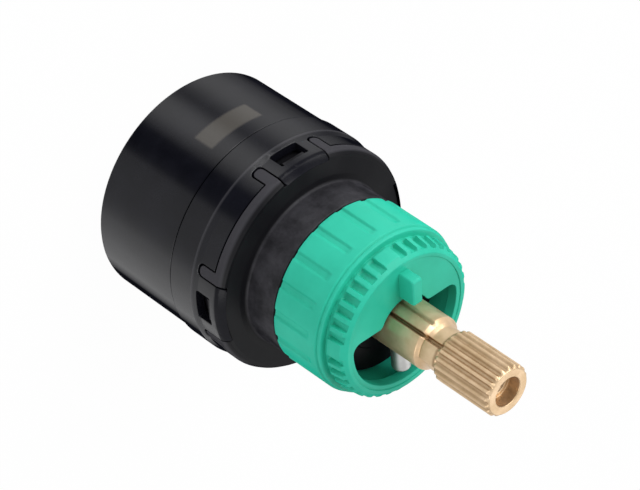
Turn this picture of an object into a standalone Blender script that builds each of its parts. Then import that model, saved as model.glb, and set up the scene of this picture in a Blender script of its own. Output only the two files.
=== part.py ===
"""Rotary ceramic-disc diverter cartridge with a toothed travel-limit ring and a splined brass spindle.

Metres, +Z up. The cartridge stands on its rear face. Its axis is Z, and z = 0 is the rear face,
which is pressed against the seat of the valve body. The spindle points up.
"""

import math

import bmesh
import bpy
from mathutils import Matrix, Vector

# Clearances
GAP = 0.0003  # between pieces that seat on each other
RUN_GAP = 0.0003  # radial running clearance of what turns or slides

# Rear body, which holds the water ports
REAR_PROUD = 0.00015  # outside of the collar to the outside of the rear body
REAR_LEN = 0.0205
REAR_EDGE = 0.0005  # chamfer of the rear rim
SEAT_DEPTH = 0.0030  # seat of the ceramic discs below the front end of the rear body
SPIGOT_LEN = 0.0040  # rim that plugs into the hook housing
RIM_WALL = 0.0026
CORE_DEPTH = 0.0130  # moulding pockets in the rear face
CORE_WALL = 0.00275  # from a pocket to the outside
CORE_HALF_WIDTH = 0.0024
CORE_HALF_ANGLE = 13.0
CORE_ANGLES = (66.0, 114.0, 246.0, 294.0)
KEY_ANGLES = (255.0, 345.0)  # notches that stop the cartridge from turning in its bore
KEY_HALF_WIDTH = 0.0020
KEY_DEPTH = 0.0016
KEY_HEIGHT = 0.0030

# Water ports, the same through the rear body and the fixed disc
INLET_R = 0.0037
PORT_WALL = 0.0007  # between the seal grooves of the inlet and the outlets
OUTLET_HALF_WIDTH = 0.0025
OUTLET_HALF_ANGLE = 22.0
OUTLET_ANGLES = {"left": 180.0, "right": 0.0}
SEAL_MARGIN = 0.0010  # from the edge of a port to its seal
SEAL_WIDTH = 0.0011
SEAL_HEIGHT = 0.0010

# Ceramic discs
FIXED_DISC_LEN = 0.0035
DISC_LUG_ANGLES = (90.0, 235.0, 305.0)
DISC_LUG_HALF_WIDTH = 0.0020
DISC_LUG_REACH = 0.0017  # lugs of the rear body that hold the fixed disc
DISC_LUG_LEN = 0.0030
DISC_LAND = 0.0016  # of the moving disc, outside the outlets
DISC_PLAY = 0.0005  # round the moving disc
MOVING_DISC_LEN = 0.0040
SPOON_DEPTH = 0.0022  # hollow that joins the inlet to an outlet
SPOON_CENTRE_R = 0.0050
SPOON_HALF_ANGLE = 62.0

# Driver between spindle and moving disc
DRIVER_PLATE_LEN = 0.0032
DRIVER_HUB_PLAY = 0.0006
DRIVER_HUB_LEN = 0.0030
DRIVER_LUG_ANGLES = (0.0, 180.0)
DRIVER_LUG_HALF_WIDTH = 0.0027
DRIVER_LUG_REACH = 0.0028
DRIVER_LUG_LEN = 0.0018
TANG_LENGTH = 0.0096
TANG_WIDTH = 0.0064
TANG_DEPTH = 0.0050

# Hook housing
BAND_PROUD = 0.00045  # outside of the collar to the outside of the band
BAND_LEN = 0.0058
BAND_CHAMFER_LEN = 0.0014
COLLAR_LEN = 0.0036
COLLAR_WALL = 0.0018
HOOK_WALL = 0.0011  # of a hook in front of its window
EDGE = 0.0005  # chamfers of the moulded edges
HOOK_ANGLES = (0.0, 90.0, 180.0, 270.0)
FINGER_ANGLES = (19.6, 17.2, 19.6, 17.2)  # from the middle of each hook to the fingers beside it
HOOK_PROUD = 0.0002  # hook ends beyond the face of the front flange
FINGER_HALF_WIDTH = 0.00105
FINGER_LEN = 0.0037
FINGER_SET_BACK = 0.00005  # behind the outside of the collar
WINDOW_HALF_ANGLE = 8.0
WINDOW_LEN = 0.0035
WINDOW_BAR = 0.0034  # from the window to the face of the flange
NUB_HALF_WIDTH = 0.0024
NUB_LEN = 0.0022
NUB_HEIGHT = 0.0016
SNAP_BEAD = 0.0006  # bead that holds the hook housing on the rear body
SNAP_RISE = 0.0010  # of the bead above the seam

# Front housing
PLUG_WALL = 0.0039
FLANGE_LEN = 0.0029
FLANGE_ROUND = 0.0008
NECK_SET_BACK = 0.00015  # behind the outside of the ring's skirt
NECK_LEN = 0.0071
NECK_FILLET = 0.0006
CHAMBER_WALL = 0.0037
HUB_WALL = 0.0046
HUB_LEN = 0.0105  # from the shoulder of the neck to the face of the hub
HUB_TAPER_LEN = 0.0015

# O-rings
ORING_WIRE = 0.0006  # radius of the section of the two housing O-rings
HOUSING_GROOVE_DEPTH = 0.0015
SHAFT_ORING_WIRE = 0.0007
SHAFT_GROOVE_DEPTH = 0.0016
SHAFT_ORING_OFFSETS = {"lower": 0.0030, "upper": 0.0066}  # above the thrust washer's seat

# Limit ring
SPLINE_COUNT = 20
SPLINE_LEN = 0.0067  # from the shoulder of the neck
SPLINE_DEPTH = 0.0008
SPLINE_HALF_WIDTH = 0.0009
RING_WALL = 0.00205  # of the skirt, outside the splines
RING_DRAFT = 0.00007
RING_SKIRT_LEN = 0.0109
RING_LIP_STEP = 0.00045
RING_LIP_LEN = 0.0008
RING_BAND_STEP = 0.00115  # from the skirt down to the band
RING_BAND_DRAFT = 0.0004
RING_BAND_LEN = 0.0039
RING_GROOVE_DEPTH = 0.0006  # below the band
RING_GROOVE_LEN = 0.0008
RING_CONE_LEN = 0.0009
RING_RIM_WALL = 0.00075  # from the inner wall to the outside of the rim
RING_RIM_WIDTH = 0.0007
RING_RIM_HEIGHT = 0.0002
RING_PLAY = 0.0006  # between the inner wall and the hub
RING_PLATE_LEN = 0.0022
FLUTE_COUNT = 18
FLUTE_HALF_ANGLE = 2.6
FLUTE_DEPTH = 0.0004
FLUTE_LEN = 0.0087
POCKET_COUNT = 38
POCKET_START_ANGLE = 96.5
POCKETS_LEFT_OUT = (0, 8, 19, 27)
POCKET_HALF_ANGLE = 2.7
POCKET_DEPTH = 0.0011
POCKET_REACH = 0.0002  # from the start of the front cone to the end of a pocket
STEM_HOLE_PLAY = 0.0006  # of the plate round the stem
OPENING_LEDGE = 0.00085  # of the plate, inside the inner wall
OPENING_CORNER = 0.0018
STOP_EDGE_ROUND = 0.0012
TAB_ANGLE = 90.0
TAB_HALF_WIDTH = 0.0011
TAB_SET_BACK = 0.0008  # from the stem's hole
TAB_LEN = 0.0055
TAB_HEIGHT = 0.0036

# Spindle
JOURNAL_STEP = 0.0009  # from the stem to the journal
JOURNAL_PLAY = 0.0004
FLANGE_STEP = 0.0017  # of the flange, inside the driver's hub
SPINDLE_FLANGE_LEN = 0.0022
WASHER_LEN = 0.0009
BUSH_WALL = 0.0022
BUSH_LEN = 0.0035
STEM_STEP = 0.00105  # from the waist to the stem
STEM_LEN = 0.0143  # from the face of the hub
STEM_EDGE = 0.0007
STEM_GROOVE_ANGLES = (96.0, 129.0)
STEM_GROOVE_WIDTH = 0.0010
STEM_GROOVE_DEPTH = 0.0006
WAIST_WALL = 0.00125  # from the mouth of the screw hole to the waist
WAIST_LEN = 0.0035
WAIST_TAPER_LEN = 0.0008  # hollow end of the stem's shoulder, within the waist
WAIST_PAD_ANGLES = (131.0, 179.0)
WAIST_PAD_RISE = 0.00055
HEAD_STEP = 0.00089  # from the waist to the tips of the teeth
HEAD_LEN = 0.0135
HEAD_EDGE = 0.0006
TOOTH_COUNT = 20
TOOTH_START_ANGLE = 107.0
TOOTH_DEPTH = 0.00055
TOOTH_GROOVE_HALF_ANGLE = 3.6
SCREW_HOLE_R = 0.0021
SCREW_HOLE_DEPTH = 0.0130
SCREW_SINK_STEP = 0.0008
SCREW_SINK_DEPTH = 0.0027
STOP_PIN_R = 0.0018
STOP_PIN_END_PLAY = 0.00105  # from the pin's end to the edge of the opening
STOP_PIN_RISE = 0.0004  # axis above the rear side of the ring's plate
STOP_PIN_SEAT = 0.0028  # depth of its seat in the stem
STOP_PIN_EDGE = 0.0006
STOP_PIN_ANGLE = 270.0

# Facets
ROUND = 40
SPINDLE_ROUND = 30
SMALL_ROUND = 20
WIRE_ROUND = 6
PORT_ROUND = 4

# Heights that follow from the sizes above
SEAM_Z = REAR_LEN
SPIGOT_TOP_Z = SEAM_Z + SPIGOT_LEN
SEAT_Z = SEAM_Z - SEAT_DEPTH
FIXED_DISC_Z = SEAT_Z + 2 * GAP
MOVING_DISC_Z = FIXED_DISC_Z + FIXED_DISC_LEN + GAP
DRIVER_Z = MOVING_DISC_Z + MOVING_DISC_LEN + GAP
DRIVER_HUB_Z = DRIVER_Z + DRIVER_PLATE_LEN
SPINDLE_FLANGE_Z = DRIVER_HUB_Z + DRIVER_HUB_LEN + 2 * GAP
WASHER_Z = SPINDLE_FLANGE_Z + SPINDLE_FLANGE_LEN + GAP
CHAMBER_TOP_Z = WASHER_Z + WASHER_LEN + GAP
BAND_TOP_Z = SEAM_Z + BAND_LEN
COLLAR_Z = BAND_TOP_Z + BAND_CHAMFER_LEN
FLANGE_SEAM_Z = COLLAR_Z + COLLAR_LEN
FLANGE_Z = FLANGE_SEAM_Z + FLANGE_LEN
NECK_TOP_Z = FLANGE_Z + NECK_LEN
HUB_TOP_Z = NECK_TOP_Z + HUB_LEN
SPLINE_TOP_Z = NECK_TOP_Z + SPLINE_LEN
RING_Z = NECK_TOP_Z + GAP
RING_LIP_Z = RING_Z + RING_SKIRT_LEN
RING_GROOVE_Z = RING_LIP_Z + RING_LIP_LEN
RING_BAND_Z = RING_GROOVE_Z + RING_GROOVE_LEN
RING_CONE_Z = RING_BAND_Z + RING_BAND_LEN - RING_CONE_LEN
RING_FACE_Z = RING_CONE_Z + RING_CONE_LEN
PLATE_TOP_Z = RING_FACE_Z - RING_RIM_HEIGHT
PLATE_Z = PLATE_TOP_Z - RING_PLATE_LEN
STOP_PIN_Z = PLATE_Z + STOP_PIN_RISE
STEM_TOP_Z = HUB_TOP_Z + STEM_LEN
HEAD_Z = STEM_TOP_Z + WAIST_LEN
SPINDLE_TOP_Z = HEAD_Z + HEAD_LEN

# Radii that follow from the sizes above: from the ports out to the band
SEAL_ROOM = SEAL_MARGIN + SEAL_WIDTH + GAP
OUTLET_R = INLET_R + 2 * SEAL_ROOM + PORT_WALL + OUTLET_HALF_WIDTH
OUTLET_FAR_R = OUTLET_R + OUTLET_HALF_WIDTH
MOVING_DISC_R = OUTLET_FAR_R + DISC_LAND
CHAMBER_R = MOVING_DISC_R + DISC_PLAY
PLUG_R = CHAMBER_R + PLUG_WALL
BORE_R = PLUG_R + GAP
COLLAR_R = BORE_R + COLLAR_WALL
REAR_R = COLLAR_R + REAR_PROUD
BAND_R = COLLAR_R + BAND_PROUD
RIM_R = PLUG_R - RIM_WALL
FIXED_DISC_R = RIM_R - 2 * GAP
CORE_R = REAR_R - CORE_WALL - CORE_HALF_WIDTH

# Radii that follow from the sizes above: from the screw hole out to the ring, and back in to the driver
SCREW_SINK_R = SCREW_HOLE_R + SCREW_SINK_STEP
WAIST_R = SCREW_SINK_R + WAIST_WALL
WAIST_PAD_R = WAIST_R + WAIST_PAD_RISE
HEAD_R = WAIST_R + HEAD_STEP
STEM_R = WAIST_R + STEM_STEP
STEM_HOLE_R = STEM_R + STEM_HOLE_PLAY
JOURNAL_R = STEM_R + JOURNAL_STEP
JOURNAL_BORE_R = JOURNAL_R + JOURNAL_PLAY
BUSH_R = STEM_R + RUN_GAP + BUSH_WALL
HUB_R = BUSH_R + GAP + HUB_WALL
RING_WALL_R = HUB_R + RING_PLAY
SPLINE_ROOT_R = RING_WALL_R + GAP
SPLINE_R = SPLINE_ROOT_R + SPLINE_DEPTH
RING_TOOTH_R = SPLINE_ROOT_R + RUN_GAP
RING_SPLINE_R = SPLINE_R + RUN_GAP
RING_R = RING_SPLINE_R + RING_WALL
RING_LIP_R = RING_R - RING_LIP_STEP
RING_BAND_R = RING_R - RING_BAND_STEP
RING_BAND_FRONT_R = RING_BAND_R - RING_BAND_DRAFT
RING_GROOVE_R = RING_BAND_R - RING_GROOVE_DEPTH
RING_RIM_R = RING_WALL_R + RING_RIM_WALL
OPENING_R = RING_WALL_R - OPENING_LEDGE
STOP_PIN_END_R = OPENING_R - STOP_PIN_END_PLAY
STOP_EDGE_Y = STOP_PIN_R + RUN_GAP
TAB_INNER_R = STEM_HOLE_R + TAB_SET_BACK
TAB_OUTER_R = TAB_INNER_R + TAB_LEN
NECK_R = RING_R - NECK_SET_BACK
INNER_CHAMBER_R = NECK_R - CHAMBER_WALL
DRIVER_HUB_R = INNER_CHAMBER_R - DRIVER_HUB_PLAY
FLANGE_R = DRIVER_HUB_R - FLANGE_STEP


def clear_scene():
    """Removes every object that the file starts with."""
    for obj in list(bpy.data.objects):
        bpy.data.objects.remove(obj)


clear_scene()
PARTS = bpy.data.collections.new("diverter_cartridge")
CUTTERS = bpy.data.collections.new("cutters")
bpy.context.scene.collection.children.link(PARTS)
bpy.context.scene.collection.children.link(CUTTERS)
CUTTERS.hide_render = True


def material(name, colour, roughness, metallic=0.0):
    """A plain Principled material."""
    made = bpy.data.materials.new(name)
    made.use_nodes = True
    shader = made.node_tree.nodes["Principled BSDF"]
    shader.inputs["Base Color"].default_value = (*colour, 1.0)
    shader.inputs["Roughness"].default_value = roughness
    shader.inputs["Metallic"].default_value = metallic
    return made


def add_object(name, mesh, finish=None):
    """Links the mesh as a part if it has a finish, and as a cutter if it hasn't."""
    obj = bpy.data.objects.new(name, mesh)
    if finish:
        mesh.materials.append(finish)
        PARTS.objects.link(obj)
    else:
        obj.display_type = "WIRE"
        obj.hide_render = True
        CUTTERS.objects.link(obj)
    return obj


def smooth(obj):
    """Smooth shading that keeps the corners crisp."""
    obj.data.shade_smooth()
    obj.data.set_sharp_from_angle(angle=math.radians(30))


def turned(name, profile, finish=None, steps=ROUND, closed=True):
    """A profile of (radius, z) points at +X, run down its outer side, turned about Z."""
    mesh = bpy.data.meshes.new(name)
    points = [(radius, 0.0, z) for radius, z in profile]
    edges = [(i, i + 1) for i in range(len(points) - 1)]
    if closed:
        edges.append((len(points) - 1, 0))
    mesh.from_pydata(points, edges, [])
    obj = add_object(name, mesh, finish)
    screw = obj.modifiers.new("turn", "SCREW")
    screw.axis = "Z"
    screw.steps = steps
    screw.render_steps = steps
    screw.use_merge_vertices = True
    screw.merge_threshold = 0.00001
    screw.use_smooth_shade = True
    return obj


def prisms(name, outlines, low, high, finish=None):
    """Flat outlines in X and Y, each raised from low to high."""
    mesh = bpy.data.meshes.new(name)
    work = bmesh.new()
    for outline in outlines:
        corners = [work.verts.new((x, y, low)) for x, y in outline]
        base = work.faces.new(corners)
        raised = bmesh.ops.extrude_face_region(work, geom=[base])["geom"]
        top = [item for item in raised if isinstance(item, bmesh.types.BMVert)]
        bmesh.ops.translate(work, verts=top, vec=(0.0, 0.0, high - low))
    bmesh.ops.recalc_face_normals(work, faces=work.faces)
    work.to_mesh(mesh)
    work.free()
    return add_object(name, mesh, finish)


def radial_boxes(name, span, width, rise, angles, finish=None):
    """A box at each angle, from its inner to its outer radius, this wide, and from low to high."""
    inner, outer = span
    low, high = rise
    mesh = bpy.data.meshes.new(name)
    work = bmesh.new()
    for angle in angles:
        place = Matrix.Translation(Vector(((inner + outer) / 2, 0.0, (low + high) / 2)))
        size = Matrix.Diagonal(Vector((outer - inner, width, high - low, 1.0)))
        turn = Matrix.Rotation(math.radians(angle), 4, "Z")
        bmesh.ops.create_cube(work, size=1.0, matrix=turn @ place @ size)
    work.to_mesh(mesh)
    work.free()
    return add_object(name, mesh, finish)


def radial_prisms(name, outline, span, angles, finish=None):
    """An outline of (sideways, z) points run outwards over a span of radii, at each angle."""
    inner, outer = span
    mesh = bpy.data.meshes.new(name)
    work = bmesh.new()
    for angle in angles:
        turn = Matrix.Rotation(math.radians(angle), 4, "Z")
        corners = [work.verts.new(turn @ Vector((inner, side, z))) for side, z in outline]
        base = work.faces.new(corners)
        grown = bmesh.ops.extrude_face_region(work, geom=[base])["geom"]
        far = [item for item in grown if isinstance(item, bmesh.types.BMVert)]
        bmesh.ops.translate(work, verts=far, vec=turn @ Vector((outer - inner, 0.0, 0.0)))
    bmesh.ops.recalc_face_normals(work, faces=work.faces)
    work.to_mesh(mesh)
    work.free()
    return add_object(name, mesh, finish)


def boolean(obj, other, operation="DIFFERENCE"):
    """Cuts the other object out of this one, or joins it on."""
    modifier = obj.modifiers.new(other.name, "BOOLEAN")
    modifier.operation = operation
    modifier.solver = "EXACT"
    modifier.object = other


def arc(centre, radius, start, end, steps):
    """Points on an arc, angles in degrees."""
    turn = [math.radians(start + (end - start) * i / steps) for i in range(steps + 1)]
    return [(centre[0] + radius * math.cos(a), centre[1] + radius * math.sin(a)) for a in turn]


def polar(radius, angle):
    """The point at this radius and this angle in degrees."""
    return (radius * math.cos(math.radians(angle)), radius * math.sin(math.radians(angle)))


def sector(inner, outer, middle, half_angle, steps=2):
    """A ring sector's outline."""
    far = arc((0, 0), outer, middle - half_angle, middle + half_angle, steps)
    near = arc((0, 0), inner, middle + half_angle, middle - half_angle, steps)
    return far + near


def kidney(radius, half_width, middle, half_angle, steps=PORT_ROUND):
    """The outline of a slot with round ends, bent about the axis."""
    start, end = middle - half_angle, middle + half_angle
    return (
        arc((0, 0), radius + half_width, start, end, steps)
        + arc(polar(radius, end), half_width, end, end + 180, steps)[1:-1]
        + arc((0, 0), radius - half_width, end, start, steps)
        + arc(polar(radius, start), half_width, start + 180, start + 360, steps)[1:-1]
    )


def half_angle_of(half_width, radius):
    """The half angle in degrees that a half width takes up at a radius."""
    return math.degrees(math.asin(half_width / radius))


def ring_of_wire(name, radius, wire, z, steps):
    """An O-ring: a torus about Z."""
    bpy.ops.mesh.primitive_torus_add(
        location=(0.0, 0.0, z),
        major_radius=radius,
        minor_radius=wire,
        major_segments=steps,
        minor_segments=WIRE_ROUND,
    )
    made = bpy.context.object
    made.name = name
    made.data.name = name
    made.data.materials.append(RUBBER)
    for holder in list(made.users_collection):
        holder.objects.unlink(made)
    PARTS.objects.link(made)
    smooth(made)


BLACK_PLASTIC = material("black_plastic", (0.020, 0.020, 0.024), 0.38)
GREEN_PLASTIC = material("green_plastic", (0.030, 0.500, 0.330), 0.42)
BRASS = material("brass", (0.700, 0.450, 0.230), 0.34, 1.0)
STEEL = material("steel", (0.560, 0.560, 0.550), 0.30, 1.0)
RUBBER = material("rubber", (0.015, 0.015, 0.016), 0.60)
CERAMIC = material("ceramic", (0.820, 0.800, 0.760), 0.20)
WHITE_PLASTIC = material("white_plastic", (0.750, 0.750, 0.720), 0.45)


def port_outlines(margin):
    """The inlet and the two outlets, each grown by a margin."""
    start = 180.0 / ROUND  # half a facet on, which keeps the corners off the body's own
    inlet = arc((0, 0), INLET_R + margin, start, start + 360.0, 5 * PORT_ROUND)[:-1]
    outlets = [
        kidney(OUTLET_R, OUTLET_HALF_WIDTH + margin, angle, OUTLET_HALF_ANGLE)
        for angle in OUTLET_ANGLES.values()
    ]
    return [inlet] + outlets


def cut_seal_grooves(body, name, mouth_z, floor_z):
    """Grooves for the port seals, from the mouth to the floor, with a core left standing in each."""
    grooves = prisms(
        name, port_outlines(SEAL_ROOM), min(mouth_z, floor_z), max(mouth_z, floor_z)
    )
    cores = prisms(
        name + "_cores",
        port_outlines(SEAL_MARGIN - GAP),
        min(mouth_z, floor_z) - SEAL_HEIGHT,
        max(mouth_z, floor_z) + SEAL_HEIGHT,
    )
    boolean(grooves, cores)
    boolean(body, grooves)


def rear_body():
    """The moulded rear body: three ports, the seat and rim of the fixed disc, and seal grooves."""
    groove_r = PLUG_R - HOUSING_GROOVE_DEPTH
    bead_floor_r = BORE_R - SNAP_BEAD - 1.5 * GAP
    bead_room = SNAP_BEAD + GAP / 3
    bead_z = SEAM_Z + SNAP_RISE
    groove_z = SPIGOT_TOP_Z - 0.0006
    groove_len = 2 * ORING_WIRE + GAP
    body = turned(
        "rear_body",
        [
            (0.0, SEAT_Z),
            (RIM_R, SEAT_Z),
            (RIM_R, SPIGOT_TOP_Z),
            (PLUG_R, SPIGOT_TOP_Z),
            (PLUG_R, groove_z),
            (groove_r, groove_z),
            (groove_r, groove_z - groove_len),
            (PLUG_R, groove_z - groove_len),
            (PLUG_R, bead_z + bead_room),
            (bead_floor_r, bead_z),
            (PLUG_R, bead_z - bead_room),
            (PLUG_R, SEAM_Z - GAP / 2),
            (REAR_R, SEAM_Z - GAP / 2),
            (REAR_R, REAR_EDGE),
            (REAR_R - REAR_EDGE, 0.0),
            (0.0, 0.0),
        ],
        BLACK_PLASTIC,
        closed=False,
    )
    lug_span = (RIM_R - DISC_LUG_REACH, RIM_R + 0.0010)
    lug_rise = (SEAT_Z - 0.0010, SEAT_Z + DISC_LUG_LEN)
    lugs = radial_boxes("disc_lugs", lug_span, 2 * DISC_LUG_HALF_WIDTH, lug_rise, DISC_LUG_ANGLES)
    boolean(body, lugs, "UNION")
    key_span = (REAR_R - KEY_DEPTH, REAR_R + 0.0010)
    key_rise = (-0.0010, KEY_HEIGHT)
    boolean(body, radial_boxes("key_notches", key_span, 2 * KEY_HALF_WIDTH, key_rise, KEY_ANGLES))
    pockets = [kidney(CORE_R, CORE_HALF_WIDTH, angle, CORE_HALF_ANGLE, 3) for angle in CORE_ANGLES]
    boolean(body, prisms("rear_pockets", pockets, -0.0010, CORE_DEPTH))
    boolean(body, prisms("rear_ports", port_outlines(0.0), -0.0010, SEAT_Z + 0.0010))
    cut_seal_grooves(body, "seat_grooves", SEAT_Z + 0.0010, SEAT_Z - SEAL_HEIGHT)
    cut_seal_grooves(body, "rear_grooves", -0.0010, SEAL_HEIGHT + 2 * GAP)
    smooth(body)


def port_seals(prefix, low):
    """Rubber rings round the inlet and the two outlets, one object each."""
    outer = port_outlines(SEAL_MARGIN + SEAL_WIDTH)
    inner = port_outlines(SEAL_MARGIN)
    names = ["inlet"] + [side + "_outlet" for side in OUTLET_ANGLES]
    for name, outside, inside in zip(names, outer, inner):
        seal = prisms(prefix + name + "_seal", [outside], low, low + SEAL_HEIGHT, RUBBER)
        hole = prisms(prefix + name + "_hole", [inside], low - 0.0010, low + SEAL_HEIGHT + 0.0010)
        boolean(seal, hole)


def hook_housing():
    """The ring that joins rear body and front housing: a snap bead, and four hooks with windows."""
    bead_z = SEAM_Z + SNAP_RISE
    hook_top = FLANGE_Z + HOOK_PROUD
    window_top = FLANGE_SEAM_Z + FLANGE_LEN - WINDOW_BAR
    collar_end = FLANGE_SEAM_Z - GAP / 2
    housing = turned(
        "hook_housing",
        [
            (BORE_R, collar_end),
            (COLLAR_R - HOOK_WALL, collar_end),
            (COLLAR_R - HOOK_WALL, hook_top),
            (COLLAR_R - EDGE, hook_top),
            (COLLAR_R, hook_top - EDGE),
            (COLLAR_R, COLLAR_Z),
            (BAND_R, BAND_TOP_Z),
            (BAND_R, SEAM_Z + GAP / 2 + EDGE / 2),
            (BAND_R - EDGE / 2, SEAM_Z + GAP / 2),
            (BORE_R, SEAM_Z + GAP / 2),
            (BORE_R, bead_z - SNAP_BEAD / 2),
            (BORE_R - SNAP_BEAD, bead_z),
            (BORE_R, bead_z + SNAP_BEAD / 2),
        ],
        BLACK_PLASTIC,
    )
    between = []
    for i, angle in enumerate(HOOK_ANGLES):
        start = angle + FINGER_ANGLES[i]
        end = angle + 90.0 - FINGER_ANGLES[(i + 1) % len(HOOK_ANGLES)]
        between.append(sector(BORE_R - 0.0010, BAND_R + 0.0010, (start + end) / 2, (end - start) / 2, 6))
    boolean(housing, prisms("hook_spaces", between, collar_end, hook_top + 0.0010))
    slots = finger_outline(FINGER_HALF_WIDTH + GAP, FLANGE_SEAM_Z - FINGER_LEN - GAP, hook_top + 0.0010)
    wall = (BORE_R - 0.0010, BAND_R + 0.0010)
    boolean(housing, radial_prisms("finger_slots", slots, wall, finger_angles()))
    windows = [
        sector(BORE_R - 0.0010, BAND_R + 0.0010, angle, WINDOW_HALF_ANGLE, 3) for angle in HOOK_ANGLES
    ]
    boolean(housing, prisms("windows", windows, window_top - WINDOW_LEN, window_top))
    smooth(housing)


def finger_angles():
    """The two fingers beside each hook."""
    return [
        angle + side * apart for angle, apart in zip(HOOK_ANGLES, FINGER_ANGLES) for side in (-1, 1)
    ]


def finger_outline(half_width, low, high):
    """A finger seen from outside, with rounded corners at its rear end."""
    corner = 0.6 * half_width
    return (
        [(half_width, high), (-half_width, high)]
        + arc((corner - half_width, low + corner), corner, 180, 270, 2)
        + arc((half_width - corner, low + corner), corner, 270, 360, 2)
    )


def front_housing():
    """The moulded front: plug, flange with fingers and latch nubs, neck, and splined hub."""
    groove_z = SPIGOT_TOP_Z + GAP + 0.0006
    groove_len = 2 * ORING_WIRE + GAP
    groove_r = PLUG_R - HOUSING_GROOVE_DEPTH
    housing = turned(
        "front_housing",
        [
            (BUSH_R + GAP, HUB_TOP_Z),
            (HUB_R - EDGE, HUB_TOP_Z),
            (HUB_R, HUB_TOP_Z - EDGE),
            (HUB_R, SPLINE_TOP_Z + GAP + HUB_TAPER_LEN),
            (SPLINE_ROOT_R - GAP, SPLINE_TOP_Z + GAP),
            (SPLINE_R, SPLINE_TOP_Z - GAP),
            (SPLINE_R, NECK_TOP_Z),
            (NECK_R, NECK_TOP_Z),
            (NECK_R, FLANGE_Z + NECK_FILLET),
            (NECK_R + NECK_FILLET, FLANGE_Z),
            (COLLAR_R - FLANGE_ROUND, FLANGE_Z),
            (COLLAR_R - 0.3 * FLANGE_ROUND, FLANGE_Z - 0.3 * FLANGE_ROUND),
            (COLLAR_R, FLANGE_Z - FLANGE_ROUND),
            (COLLAR_R, FLANGE_SEAM_Z + GAP / 2),
            (PLUG_R, FLANGE_SEAM_Z + GAP / 2),
            (PLUG_R, groove_z + groove_len),
            (groove_r, groove_z + groove_len),
            (groove_r, groove_z),
            (PLUG_R, groove_z),
            (PLUG_R, SPIGOT_TOP_Z + GAP),
            (CHAMBER_R, SPIGOT_TOP_Z + GAP),
            (CHAMBER_R, DRIVER_HUB_Z + GAP),
            (INNER_CHAMBER_R, DRIVER_HUB_Z + GAP),
            (INNER_CHAMBER_R, CHAMBER_TOP_Z),
            (JOURNAL_BORE_R, CHAMBER_TOP_Z),
            (JOURNAL_BORE_R, HUB_TOP_Z - BUSH_LEN - GAP),
            (BUSH_R + GAP, HUB_TOP_Z - BUSH_LEN - GAP),
        ],
        BLACK_PLASTIC,
    )
    finger_half = half_angle_of(FINGER_HALF_WIDTH, COLLAR_R)
    recess_r = COLLAR_R - HOOK_WALL - GAP
    recesses = [
        sector(recess_r, COLLAR_R + 0.0010, angle, apart - finger_half, 4)
        for angle, apart in zip(HOOK_ANGLES, FINGER_ANGLES)
    ]
    boolean(housing, prisms("hook_recesses", recesses, FLANGE_SEAM_Z, FLANGE_Z + 0.0010))
    fingers = finger_outline(FINGER_HALF_WIDTH, FLANGE_SEAM_Z - FINGER_LEN, FLANGE_SEAM_Z + 0.0010)
    finger_span = (PLUG_R - 0.0010, COLLAR_R - FINGER_SET_BACK)
    boolean(housing, radial_prisms("fingers", fingers, finger_span, finger_angles()), "UNION")
    boolean(housing, latch_nubs(), "UNION")
    gap_half = half_angle_of(SPLINE_HALF_WIDTH, SPLINE_R)
    step = 360.0 / SPLINE_COUNT
    spaces = [
        sector(SPLINE_ROOT_R, SPLINE_R + 0.0010, (i + 0.5) * step, step / 2 - gap_half, 1)
        for i in range(SPLINE_COUNT)
    ]
    boolean(housing, prisms("hub_spline_spaces", spaces, NECK_TOP_Z, SPLINE_TOP_Z + 2 * GAP))
    smooth(housing)


def latch_nubs():
    """Four wedges on the plug, which the windows of the hooks snap over."""
    nub_top = FLANGE_SEAM_Z + FLANGE_LEN - WINDOW_BAR - GAP
    mesh = bpy.data.meshes.new("latch_nubs")
    work = bmesh.new()
    side_view = [
        (PLUG_R - 0.0010, nub_top - NUB_LEN),
        (PLUG_R + 0.0002, nub_top - NUB_LEN),
        (PLUG_R + NUB_HEIGHT, nub_top - 0.0006),
        (PLUG_R + NUB_HEIGHT, nub_top),
        (PLUG_R - 0.0010, nub_top),
    ]
    for angle in HOOK_ANGLES:
        turn = Matrix.Rotation(math.radians(angle), 4, "Z")
        corners = [work.verts.new(turn @ Vector((r, -NUB_HALF_WIDTH, z))) for r, z in side_view]
        base = work.faces.new(corners)
        grown = bmesh.ops.extrude_face_region(work, geom=[base])["geom"]
        far = [item for item in grown if isinstance(item, bmesh.types.BMVert)]
        bmesh.ops.translate(work, verts=far, vec=turn @ Vector((0.0, 2 * NUB_HALF_WIDTH, 0.0)))
    bmesh.ops.recalc_face_normals(work, faces=work.faces)
    work.to_mesh(mesh)
    work.free()
    return add_object("latch_nubs", mesh)


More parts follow.
